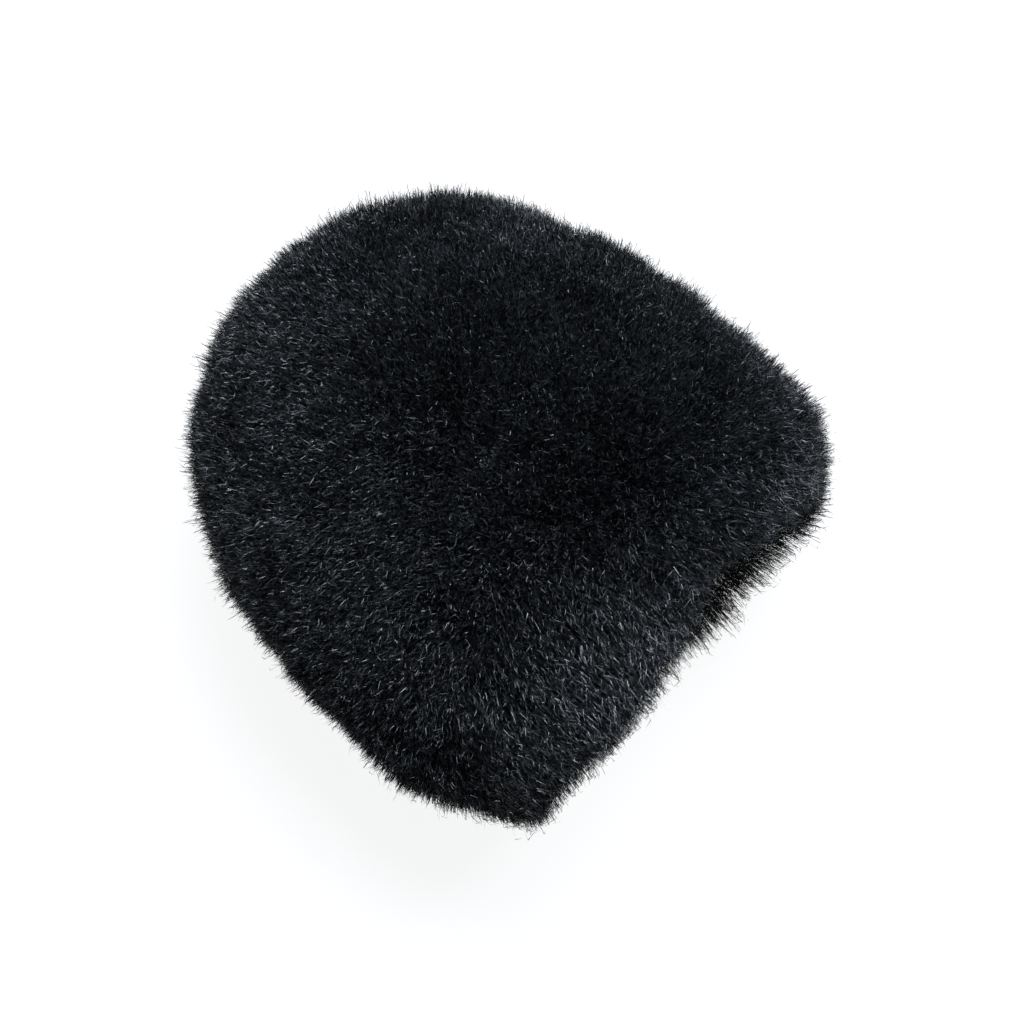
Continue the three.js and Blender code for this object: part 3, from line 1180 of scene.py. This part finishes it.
    def aside(self, root: np.ndarray, hem: np.ndarray, rng: np.random.Generator) -> np.ndarray:
        """Work out which way the pile lies: out from the middle, over the hem, and this way and that in patches.

        Args:
            root: Where each lock starts.
            hem: How near each lock is to the hem, from 0 to 1.
            rng: The random source.

        Returns:
            A sideways vector for each lock, to be added to its outward direction.
        """
        comb, seeds = self.comb, self.seed + np.arange(3)
        parted = unit(root - np.array([0.0, comb.parting_y, root[:, 2].mean()])) * comb.parted
        patches = np.stack([smooth_noise(root, comb.patch_size, seed) for seed in seeds], axis=-1)
        swirls = np.stack([smooth_noise(root, comb.swirl_size, seed) for seed in seeds + 7], axis=-1)
        over_hem = np.array(self.hem.over)[None, :] * (self.hem.brushed * hem**self.hem.power)[:, None]
        own = rng.normal(size=root.shape) * comb.own
        brushed = sum(mark.push(root) for mark in BRUSH_MARKS)
        return parted + patches * comb.patch + swirls * comb.swirl + over_hem + own + brushed

    def bend(
        self, root: np.ndarray, normal: np.ndarray, lean: np.ndarray, length: np.ndarray, knee: np.ndarray
    ) -> np.ndarray:
        """Trace fibres in two straight steps: the first between the normal and the lean, the second on the lean.

        Args:
            root: Where each starts.
            normal: The way each leaves the backing.
            lean: The way each tip points.
            length: How long each is.
            knee: Where each turns, as a share of its length.

        Returns:
            Points shaped fibres by 3 by 3: the root, the knee and the tip.
        """
        shaft = unit(normal * self.upright + lean * (1 - self.upright))
        turn = root + shaft * (length * knee)[:, None]
        return np.stack([root, turn, turn + lean * (length * (1 - knee))[:, None]], axis=1)

    def fibre_points(self, locks: Locks, rng: np.random.Generator) -> tuple[np.ndarray, np.ndarray]:
        """Grow each lock's fibres around its guide, clear of the floor and not too far past the fringe.

        Args:
            locks: The guides.
            rng: The random source.

        Returns:
            Points shaped fibres by 3 by 3, and each fibre's length as a share of its guide's.
        """
        guide = np.repeat(np.arange(len(locks.root)), self.per_lock)
        count = len(guide)
        root, normal, lean = locks.root[guide], locks.normal[guide], locks.lean[guide]
        whole, clump = locks.length[guide], locks.clump[guide]
        scatter = rng.normal(size=(count, 3)) * self.spread
        scatter -= (scatter * normal).sum(-1, keepdims=True) * normal
        is_short = rng.uniform(size=count) < self.short_share
        share = np.where(is_short, rng.uniform(*self.short, count), rng.normal(*self.whole, count))
        length = whole * share
        own_lean = unit(lean + rng.normal(size=(count, 3)) * self.stray)
        knee = 1 - rng.uniform(*self.tip, count) / length
        path = self.bend(root + scatter, normal, own_lean, length, knee)
        guides = self.bend(root, normal, lean, whole, knee)
        draw = (clump * rng.uniform(*self.drawn, count) * share)[:, None] * np.array(self.drawn_along)
        path += (guides + scatter[:, None] * self.apart - path) * draw[..., None]
        path[:, 2] += rng.normal(size=(count, 3)) * (length * (1 - knee) * self.curl)[:, None]
        floor = (self.clear[0] + self.clear[1] * rng.uniform(size=(count, 1))) * MM
        path[..., 2] = np.maximum(path[..., 2], floor)
        past = np.clip(MOUTH_Y - FRINGE_DROP - path[..., 1], 0, None)
        path[..., 1] += past * past / (past + FRINGE_GIVE)
        return path, share

    def ribbons(self, path: np.ndarray, rng: np.random.Generator) -> tuple[np.ndarray, np.ndarray, np.ndarray]:
        """Turn fibres into narrow ribbons that are pointed at both ends, each facing its own way.

        Args:
            path: Points shaped fibres by 3 by 3.
            rng: The random source.

        Returns:
            Vertices, the corners of all faces, and where each face starts.
        """
        count = len(path)
        ahead = unit(path[:, 2] - path[:, 1])
        side = unit(np.cross(ahead, rng.normal(size=(count, 3)))) * (self.width / 2)
        side = side * rng.uniform(*self.widths, count)[:, None]
        root, knee, tip = path[:, 0], path[:, 1], path[:, 2]
        points = np.stack([root, knee - side, knee + side, tip], axis=1).reshape(-1, 3)
        corners = (np.arange(count)[:, None] * 4 + np.array([0, 2, 1, 1, 2, 3])[None, :]).ravel()
        starts = np.arange(0, 6 * count, 3)
        return points, corners, starts

    def shades(self, path: np.ndarray, share: np.ndarray, rng: np.random.Generator) -> np.ndarray:
        """Choose a shade for each face, in patches. The shaft is darker than the tip, a painted shade for the depth
        of the pile.

        Args:
            path: Points shaped fibres by 3 by 3.
            share: Each fibre's length as a share of its guide's.
            rng: The random source.

        Returns:
            A material number for each face, two to a fibre.
        """
        tones = self.tones
        patch = smooth_noise(path[:, 0], tones.patch_size, self.seed + 31) * tones.patch
        tone = tones.middle + patch + rng.normal(0, tones.mixed, len(path)) + (share - tones.whole) * tones.longer
        # The shaft's face takes painted shade: nearly always the darkest, matte shade.
        faces = np.stack([np.clip(tone - tones.shaft, 0, 1), tone], axis=-1)
        return np.clip(np.rint(faces), 0, len(PILE_SHADES) - 1).astype(np.int32).ravel()

    def build(self, wardrobe: Wardrobe) -> list[bpy.types.Object]:
        """Grow the pile, one piece for each sector, and give each face its shade.

        Args:
            wardrobe: The finishes.

        Returns:
            The pieces.
        """
        pieces = []
        rng = np.random.default_rng(self.seed)
        locks = self.scatter(self.fibres // self.per_lock, rng)
        for sector, chosen in zip(self.sectors, np.array_split(np.arange(len(locks.root)), len(self.sectors))):
            path, share = self.fibre_points(locks.take(chosen), rng)
            name = f"pile_{self.cut.value}_{sector}"
            mesh = raw_mesh(name, *self.ribbons(path, rng))
            piece = new_piece(name, mesh)
            for material in wardrobe.pile:
                mesh.materials.append(material)
            mesh.polygons.foreach_set("material_index", self.shades(path, share, rng))
            pieces.append(piece)
            log.info("%s: %d fibres", name, len(path))
        return pieces


# -------------------------------------------------------------------------------------------------- sewn layers


@dataclass(frozen=True)
class FlatCut:
    """What a piece of cloth measures laid flat, before it is sewn: across, along and over its area."""

    width: float
    length: float
    area: float

    def declare(
        self, piece: bpy.types.Object, held: str, lies_on: Sequence[str], carries: Sequence[bpy.types.Object] = ()
    ) -> None:
        """Take a finished piece that was made from this cut, and do nothing with it.

        Args:
            piece: The piece. It is not used.
            held: How it is held. It is not used.
            lies_on: What it lies on. It is not used.
            carries: The separate pieces on it. It is not used.
        """


@dataclass(frozen=True)
class Layer:
    """One layer of the pouch, cut into three panels between two depths inside the backing's inner face."""

    name: str
    outer: float
    inner: float
    front: float
    gap: float
    rows: int = 121
    columns: int = 33
    ripple: float = 0.22 * MM
    ripple_size: float = 30 * MM

    def relief(self, points: np.ndarray, cut: Cut) -> np.ndarray:
        """Ripple the soft cloth in and out of its cut shape by smooth noise that fades to 0 at its sewn edges.

        Args:
            points: The panel's grid.
            cut: The panel.

        Returns:
            How far out each point moves.
        """
        share = np.linspace(0, 1, points.shape[1])[None, :]
        edge = np.sin(np.pi * share) if cut is Cut.SIDE else np.sin(np.pi * np.minimum(share * 2, 1) / 2)
        return smooth_noise(points, self.ripple_size, SEED + 3) * self.ripple * edge

    def panel(self, cut: Cut, node: str) -> bpy.types.Object:
        """Build one panel as a closed piece of cloth.

        Args:
            cut: The panel.
            node: The piece's name.

        Returns:
            The piece.
        """
        outer, inner = BACKING.inset(self.outer), BACKING.inset(self.inner)
        heading, latitude = panel_grid(cut, self.gap, self.front, outer, self.rows, self.columns)
        outside = outer.point(heading, latitude, self.front)
        latitude = panel_grid(cut, self.gap, self.front, inner, self.rows, self.columns)[1]
        inside = inner.point(heading, latitude, self.front)
        through = unit(outside - inside)
        moved = self.relief(inside, cut)[..., None] * through
        return new_piece(node, shell(node, outside + moved, inside + moved, cloth_uv(inside)))

    def build(self, material: bpy.types.Material, slot: str, replaced: str) -> dict[Cut, bpy.types.Object]:
        """Build the layer's three panels.

        Args:
            material: Their finish.
            slot: A material slot's name, passed on to dress.
            replaced: The start of the names of the CAD nodes that they stand for.

        Returns:
            The pieces by cut.
        """
        made = {}
        for cut in Cut:
            piece = self.panel(cut, f"{self.name}_{cut.value}")
            made[cut] = dress(piece, material, slot, f"{replaced}_{cut.value}")
        return made


@dataclass(frozen=True)
class Seam:
    """The sewing along one seam of a layer: a row of stitches in the gap between two panels."""

    name: str
    latitude: float
    depth: float
    front: float
    radius: float
    pitch: float = 2.6 * MM
    points_each: int = 6
    steps: int = 400
    measure_steps: int = 200
    end_angle: float = 0.02
    inward_y: float = 50 * MM

    def line(self, count: int) -> np.ndarray:
        """Give evenly spaced points along the seam.

        Args:
            count: How many points.

        Returns:
            Points shaped count by 3.
        """
        skin = BACKING.inset(self.depth)
        heading = np.linspace(self.end_angle, np.pi - self.end_angle, self.steps)
        fine = skin.point(heading, np.full_like(heading, self.latitude), self.front)
        gone = np.concatenate([[0], np.cumsum(np.linalg.norm(np.diff(fine, axis=0), axis=-1))])
        wanted = np.linspace(0, gone[-1], count)
        return np.stack([np.interp(wanted, gone, fine[:, axis]) for axis in range(3)], axis=-1)

    def build(self, material: bpy.types.Material) -> bpy.types.Object:
        """Build the stitches, each a short bowed length of thread that dips into the cloth at both ends.

        Args:
            material: The thread's finish.

        Returns:
            The piece.
        """
        each = self.points_each
        length = np.linalg.norm(np.diff(self.line(self.measure_steps), axis=0), axis=-1).sum()
        count = int(length / self.pitch)
        line = self.line(count * each + 1)
        inward = unit(np.array([0.0, MOUTH_Y + self.inward_y, SEAM_PLANE_Z]) - line)
        dip = (1 - np.sin(np.pi * (np.arange(len(line)) % each) / (each - 1))) * self.radius * 0.5
        path = line + inward * dip[:, None]
        starts = range(0, count * each, each)
        stitches = [thread_length(self.name, path[start : start + each], self.radius) for start in starts]
        return dress(new_piece(self.name, joined(self.name, stitches)), material, "thread", self.name)


@dataclass(frozen=True)
class SeamTape:
    """A woven tape that covers one seam inside the lining, a little puckered by its stitches."""

    name: str
    latitude: float
    depth: float
    thick: float = 0.6 * MM
    spread: float = 6 * MM
    puckers: float = 150.0
    pucker_depth: float = 0.08 * MM
    rows: int = 181
    columns: int = 9
    flat: FlatCut = FlatCut(10 * MM, 220 * MM, 220 * MM * 6 * MM)

    def build(self, material: bpy.types.Material) -> bpy.types.Object:
        """Build the tape as a closed strip.

        Args:
            material: Its finish.

        Returns:
            The piece.
        """
        heading = np.linspace(0, np.pi, self.rows)[:, None]
        across = np.linspace(-1, 1, self.columns)[None, :]
        latitude = self.latitude + self.spread * across / BACKING.outline_radius(heading)
        outside = BACKING.inset(self.depth).point(heading, latitude, TAPE_FRONT_Y)
        inside = BACKING.inset(self.depth + self.thick).point(heading, latitude, TAPE_FRONT_Y)
        pucker = np.sin(heading * self.puckers) * (1 - across**2) * self.pucker_depth
        through = unit(outside - inside) * pucker[..., None]
        mesh = shell(self.name, outside + through, inside + through, cloth_uv(inside))
        piece = dress(new_piece(self.name, mesh), material, "tape", self.name)
        self.flat.declare(piece, "laid", ["lining_side_gusset"])
        return piece


# ----------------------------------------------------------------------------------------------------------- hem


@dataclass(frozen=True)
class Hem:
    """The gathered mouth: a binding folded around an elastic, with two rows of stitching."""

    # The outer leg's depth, the thickness of a leg and of the elastic, and the widths of the binding and elastic.
    outer: float = 0.6 * MM
    leg: float = 0.8 * MM
    elastic: float = 1.2 * MM
    width: float = 13 * MM
    elastic_width: float = 9.5 * MM

    # Gathers around the mouth, their depth, and the size, times around and start of the sines that shape them.
    gathers: int = 46
    gather_depth: float = 0.75 * MM
    wander: tuple[tuple[float, float, float], ...] = ((1.6, 3, 0.4), (0.9, 7, 2.0))
    overtone: tuple[float, float, float] = (0.35, 2.3, 1.0)

    # How strongly the outer leg and the elastic follow the gathers, and how round the fold is.
    outer_share: float = 0.25
    elastic_share: float = 0.35
    fold_depth: float = 0.6
    steps: int = 552
    leg_steps: int = 15
    fold_steps: int = 9
    elastic_steps: int = 13

    # Where the rows of stitching are from the hem's front and back, and how far and how strongly they flatten it.
    front_row: float = 2 * MM
    back_row: float = 2.5 * MM
    row_reach: float = 1.3 * MM
    row_hold: float = 0.7
    row_stitches: int = 92
    points_each: int = 7
    row_thread: float = 0.22 * MM
    row_depth: float = 0.05 * MM
    row_bow: float = 0.30 * MM

    # Half the opening between the elastic's ends, and the zigzag of thread across it.
    join_gap: float = 2 * MM
    join_thread: float = 0.2 * MM
    join_corners: int = 15
    join_steps: int = 4
    join_y: tuple[float, float] = (0.04, 0.96)
    join_z: tuple[float, float] = (0.82, 0.18)

    binding_flat: FlatCut = FlatCut(28.5 * MM, 262 * MM, 28.5 * MM * 262 * MM)
    elastic_flat: FlatCut = FlatCut(10 * MM, 200 * MM, 9.5 * MM * 200 * MM)

    @property
    def inner(self) -> float:
        """Depth of the binding's inner face."""
        return self.outer + 2 * self.leg + self.elastic + 2 * LAYER_GAP

    def gathered(self, depth: np.ndarray, y: np.ndarray, turn: np.ndarray, share: np.ndarray) -> np.ndarray:
        """Give ring points moved in and out by the gathers.

        The gathers are a sine and one overtone around the ring. Two slower sines make their phase wander, and they
        are nearly flat where a row of stitching holds them.

        Args:
            depth: Depths inside the backing's inner face.
            y: Distances from the fringe.
            turn: Angles around the ring.
            share: How strongly each place follows the gathers.

        Returns:
            Points with a last axis of 3.
        """
        flat = BACKING.ring(y, turn)
        inward = unit(BACKING.inset(3 * MM).ring(y, turn) - flat)
        phase = self.gathers * turn
        for size, times, start in self.wander:
            phase = phase + size * np.sin(times * turn + start)
        size, times, start = self.overtone
        wave = np.sin(phase) + size * np.sin(times * phase + start)
        rows = (self.front_row, self.width - self.back_row)
        held = sum(np.exp(-(((y - HEM_Y - row) / self.row_reach) ** 2)) for row in rows)
        moved = depth + self.gather_depth * wave * share * (1 - self.row_hold * np.clip(held, 0, 1))
        return flat + inward * moved[..., None]

    def binding(self, material: bpy.types.Material) -> bpy.types.Object:
        """Build the folded strip.

        Its section runs forward on the outer leg, around the fold and back on the inner leg, and then returns the
        same way on the strip's other face. Each part of it gives depths, places behind the fringe, and how
        strongly it follows the gathers.

        Args:
            material: Its finish.

        Returns:
            The piece.
        """
        middle, half = (self.outer + self.inner) / 2, (self.inner - self.outer) / 2
        back, front = HEM_Y + self.width, HEM_Y + self.fold_depth * half
        forward = back + (front - back) * np.linspace(0, 1, self.leg_steps)
        backward, level = forward[::-1], np.ones(self.leg_steps)
        fold = np.linspace(0, np.pi, self.fold_steps)[1:-1]
        round_y = HEM_Y + half * (1 - np.sin(fold)) * self.fold_depth
        rising = (1 - self.outer_share) * fold / np.pi
        parts = (
            (self.outer * level, forward, self.outer_share * level),
            (middle - half * np.cos(fold), round_y, self.outer_share + rising),
            (self.inner * level, backward, level),
            ((self.inner - self.leg) * level, forward, level),
            (middle + (half - self.leg) * np.cos(fold), round_y + self.leg, 1 - rising),
            ((self.outer + self.leg) * level, backward, self.outer_share * level),
        )
        depth, y, share = (np.concatenate(column) for column in zip(*parts))
        turn = np.linspace(0, 2 * np.pi, self.steps, endpoint=False)[:, None]
        points = self.gathered(depth[None, :] + 0 * turn, y[None, :] + 0 * turn, turn + 0 * y, share[None, :])
        faces = grid_quads(self.steps, len(y), wrap_rows=True, wrap_columns=True)
        mesh = quads_mesh("hem_binding", points, faces, cloth_uv(points))
        return dress(new_piece("hem_binding", mesh), material, "binding", "hem_binding")

    def elastic_strip(self, material: bpy.types.Material) -> bpy.types.Object:
        """Build the elastic inside the binding, open by a few millimetres at the bottom of the mouth.

        Args:
            material: Its finish.

        Returns:
            The piece.
        """
        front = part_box("hem_elastic")[0][1] - MOUTH_Y
        opening = math.atan2(self.join_gap, BACKING.mouth_half)
        turn = np.linspace(opening, 2 * np.pi - opening, self.steps)[:, None] - np.pi / 2
        y = np.linspace(front, front + self.elastic_width, self.elastic_steps)[None, :]
        turn, y = np.broadcast_arrays(turn, y)
        depth = self.outer + self.leg + LAYER_GAP
        share = np.full(turn.shape, self.elastic_share)
        outside, inside = (
            self.gathered(np.full(turn.shape, down), y, turn, share) for down in (depth, depth + self.elastic)
        )
        mesh = shell("hem_elastic", outside, inside, cloth_uv(inside))
        return dress(new_piece("hem_elastic", mesh), material, "elastic", "hem_elastic")

    def elastic_join(self, material: bpy.types.Material) -> bpy.types.Object:
        """Build the zigzag of thread that joins the elastic's two ends.

        Args:
            material: The thread's finish.

        Returns:
            The piece.
        """
        low, high = (np.array(corner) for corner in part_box("elastic_join_stitch"))
        count = self.join_corners
        corner = np.arange(count)
        x = np.where(corner % 2 == 0, low[0] + self.join_thread, high[0] - self.join_thread)
        y = low[1] + (high[1] - low[1]) * np.linspace(*self.join_y, count)
        z = low[2] + (high[2] - low[2]) * np.linspace(*self.join_z, count)
        fine = np.linspace(0, count - 1, (count - 1) * self.join_steps + 1)
        path = np.stack([np.interp(fine, corner, part) for part in (x, y, z)], axis=-1)
        mesh = thread_length("elastic_join_stitch", path, self.join_thread)
        return dress(new_piece("elastic_join_stitch", mesh), material, "thread", "elastic_join_stitch")

    def stitch_row(self, node: str, material: bpy.types.Material) -> bpy.types.Object:
        """Build one row of separate stitches on the binding's inner leg.

        Args:
            node: The row's name, and the CAD node that it stands for.
            material: The thread's finish.

        Returns:
            The piece.
        """
        low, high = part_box(node)
        y = (low[1] + high[1]) / 2 - MOUTH_Y
        each = self.points_each
        turn = np.linspace(0, 2 * np.pi, each * self.row_stitches, endpoint=False)
        lift = np.sin(np.pi * (np.arange(len(turn)) % each) / (each - 1))
        depth = self.inner + self.row_depth + self.row_bow * lift
        path = self.gathered(depth, np.full_like(turn, y), turn, np.ones_like(turn))
        starts = range(0, len(path), each)
        stitches = [thread_length(node, path[start : start + each - 1], self.row_thread) for start in starts]
        return dress(new_piece(node, joined(node, stitches)), material, "thread", node)

    def build(self, wardrobe: Wardrobe) -> None:
        """Build the whole hem.

        Args:
            wardrobe: The finishes.
        """
        binding = self.binding(wardrobe.binding)
        elastic = self.elastic_strip(wardrobe.elastic)
        join = self.elastic_join(wardrobe.thread)
        rows = [self.stitch_row(f"hem_stitch_row_{place}", wardrobe.thread) for place in ("front", "back")]
        self.binding_flat.declare(binding, "gathered", ["backing_side_gusset"], rows)
        self.elastic_flat.declare(elastic, "stretched", [binding.name], [join])


# -------------------------------------------------------------------------------------------------------- studio


LAMP_DISTANCE = 2.0


@dataclass(frozen=True)
class Lamp:
    """One distant soft lamp. It is as wide as it looks from the windscreen, in degrees."""

    name: str
    azimuth: float
    elevation: float
    width: float
    strength: float
    colour: Colour = (0.86, 0.92, 1.0)

    def hang(self) -> None:
        """Hang the lamp and turn it to the windscreen."""
        a, e = math.radians(self.azimuth), math.radians(self.elevation)
        data = bpy.data.lights.new(self.name, "SUN")
        data.angle = math.radians(self.width)
        data.energy = self.strength
        data.color = self.colour
        lamp = bpy.data.objects.new(self.name, data)
        back = Vector((math.cos(a) * math.cos(e), math.sin(a) * math.cos(e), math.sin(e)))
        lamp.location = back * LAMP_DISTANCE
        lamp.rotation_euler = (-back).to_track_quat("-Z", "Y").to_euler()
        bpy.context.scene.collection.objects.link(lamp)


@dataclass(frozen=True)
class Studio:
    """A lit pale floor, soft lamps and a long lens above the windscreen's mouth corner."""

    azimuth: float = -45.0
    elevation: float = 72.0
    lens: float = 100.0
    view_width: float = 0.2585
    aim_right: float = 12.7 * MM
    aim_up: float = -15.4 * MM
    far: float = 20.0
    wall: Colour = (0.95, 0.95, 0.95)
    wall_top: float = 0.12
    ceiling: Colour = (0.15, 0.24, 0.32)
    ceiling_edge: float = 0.42
    floor_side: float = 6.0
    floor_gap: float = 0.05 * MM
    floor_tone: float = 0.06
    floor_glow: float = 0.90
    lamps: tuple[Lamp, ...] = (
        Lamp("key", azimuth=12.0, elevation=52.0, width=50.0, strength=10.5),
        Lamp("dome_lamp", azimuth=55.0, elevation=50.0, width=30.0, strength=2.5),
    )

    def camera(self) -> None:
        """Set up the camera. Its distance makes the frame view_width across at the windscreen's middle."""
        data = bpy.data.cameras.new("camera")
        data.lens = self.lens
        distance = self.view_width * self.lens / data.sensor_width
        a, e = math.radians(self.azimuth), math.radians(self.elevation)
        back = Vector((math.sin(a) * math.cos(e), -math.cos(a) * math.cos(e), math.sin(e)))
        right = Vector((math.cos(a), math.sin(a), 0))
        up = back.cross(right)
        middle = Vector((0, 0, SEAM_PLANE_Z)) + right * self.aim_right + up * self.aim_up
        camera = bpy.data.objects.new("camera", data)
        camera.location = middle + back * distance
        camera.rotation_euler = (-back).to_track_quat("-Z", "Y").to_euler()
        data.clip_end = self.far
        bpy.context.scene.collection.objects.link(camera)
        bpy.context.scene.camera = camera

    def floor(self) -> None:
        """Lay a wide white floor just under the windscreen, with a light of its own so that shadows stay faint."""
        side, down = self.floor_side, -self.floor_gap
        corners = np.array([[-side, -side, down], [side, -side, down], [side, side, down], [-side, side, down]])
        mesh = raw_mesh("floor", corners, np.arange(4), np.array([0]))
        floor = bpy.data.objects.new("floor", mesh)
        bpy.context.scene.collection.objects.link(floor)
        desk = NodeDesk("pale_floor")
        desk.set_shader(
            Base_Color=(self.floor_tone, self.floor_tone, self.floor_tone, 1.0),
            Roughness=0.9,
            Specular_IOR_Level=0.1,
            Emission_Color=(1.0, 1.0, 1.0, 1.0),
            Emission_Strength=self.floor_glow,
        )
        mesh.materials.append(desk.material)

    def walls(self) -> None:
        """Surround the set with white walls under a dim ceiling."""
        world = bpy.data.worlds.new("surround")
        world.use_nodes = True
        tree = world.node_tree
        place = tree.nodes.new("ShaderNodeTexCoord")
        split = tree.nodes.new("ShaderNodeSeparateXYZ")
        ramp = tree.nodes.new("ShaderNodeValToRGB")
        wall, ceiling = ramp.color_ramp.elements
        wall.position, wall.color = self.wall_top, (*self.wall, 1.0)
        ceiling.position, ceiling.color = self.ceiling_edge, (*self.ceiling, 1.0)
        tree.links.new(place.outputs["Generated"], split.inputs[0])
        tree.links.new(split.outputs["Z"], ramp.inputs["Fac"])
        tree.links.new(ramp.outputs["Color"], tree.nodes["Background"].inputs["Color"])
        bpy.context.scene.world = world

    def build(self) -> None:
        """Set up the whole studio."""
        self.camera()
        self.floor()
        self.walls()
        for lamp in self.lamps:
            lamp.hang()
        bpy.context.scene.view_settings.view_transform = "Standard"
        bpy.context.scene.view_settings.look = "None"


# ---------------------------------------------------------------------------------------------------------- main

# Depths are counted inwards from the backing's inner face.
LINING_DEPTH = 5.0 * MM
FUR_SEAM_DEPTH = -0.9 * MM
LINING_SEAM_DEPTH = LINING_DEPTH + 0.4 * MM
TAPE_DEPTH = LINING_DEPTH + 1.3 * MM
FOAM_LAYER = Layer("foam", outer=0.5 * MM, inner=4.5 * MM, front=LAYER_FRONT_Y, gap=0.5 * MM)
LINING_LAYER = Layer(
    "lining", outer=LINING_DEPTH, inner=LINING_DEPTH + 0.8 * MM, front=LAYER_FRONT_Y, gap=SEWN_GAP
)
BACKING_LAYER = Layer("backing", outer=-1.2 * MM, inner=0.0, front=HEM_Y, gap=SEWN_GAP)
BACKING_CUTS = {
    Cut.TOP: FlatCut(108 * MM, 112 * MM, 99 * CM2),
    Cut.BOTTOM: FlatCut(108 * MM, 113 * MM, 100 * CM2),
    Cut.SIDE: FlatCut(46 * MM, 315 * MM, 110 * CM2),
}
LINING_CUTS = {
    Cut.TOP: FlatCut(95 * MM, 91 * MM, 71 * CM2),
    Cut.BOTTOM: FlatCut(95 * MM, 91 * MM, 72 * CM2),
    Cut.SIDE: FlatCut(41 * MM, 265 * MM, 79 * CM2),
}


def main() -> None:
    """Build the windscreen from the outside in, then the set around it."""
    logging.basicConfig(level=logging.INFO, format="%(message)s")
    wardrobe = Wardrobe.make()
    backing = BACKING_LAYER.build(wardrobe.backing, "fur", "fur")
    foam = FOAM_LAYER.build(wardrobe.foam, "foam", "foam")
    lining = LINING_LAYER.build(wardrobe.lining, "lining", "lining")
    around = ("right", "dome_right", "dome_left", "left")
    coat = (
        Pile(Cut.TOP, around, fibres=380_000, seed=SEED + 100),
        Pile(Cut.SIDE, around, fibres=300_000, seed=SEED + 200),
        Pile(Cut.BOTTOM, ("right", "left"), fibres=100_000, seed=SEED + 300),
    )
    for pile in coat:
        fibres, under = pile.build(wardrobe), foam[pile.cut]
        BACKING_CUTS[pile.cut].declare(backing[pile.cut], "stretched", [under.name], fibres)
        LINING_CUTS[pile.cut].declare(lining[pile.cut], "laid", [under.name])
    for side, latitude in (("top", SEAM_ANGLE), ("bottom", -SEAM_ANGLE)):
        fur = Seam(f"fur_seam_thread_{side}", latitude, depth=FUR_SEAM_DEPTH, front=HEM_Y, radius=0.3 * MM)
        fur.build(wardrobe.thread)
        lining_name = f"lining_seam_thread_{side}"
        inner = Seam(lining_name, latitude, depth=LINING_SEAM_DEPTH, front=LAYER_FRONT_Y, radius=0.24 * MM)
        inner.build(wardrobe.thread)
        SeamTape(f"seam_tape_{side}", latitude, TAPE_DEPTH).build(wardrobe.tape)
    Hem().build(wardrobe)
    Studio().build()


if __name__ == "__main__":
    main()
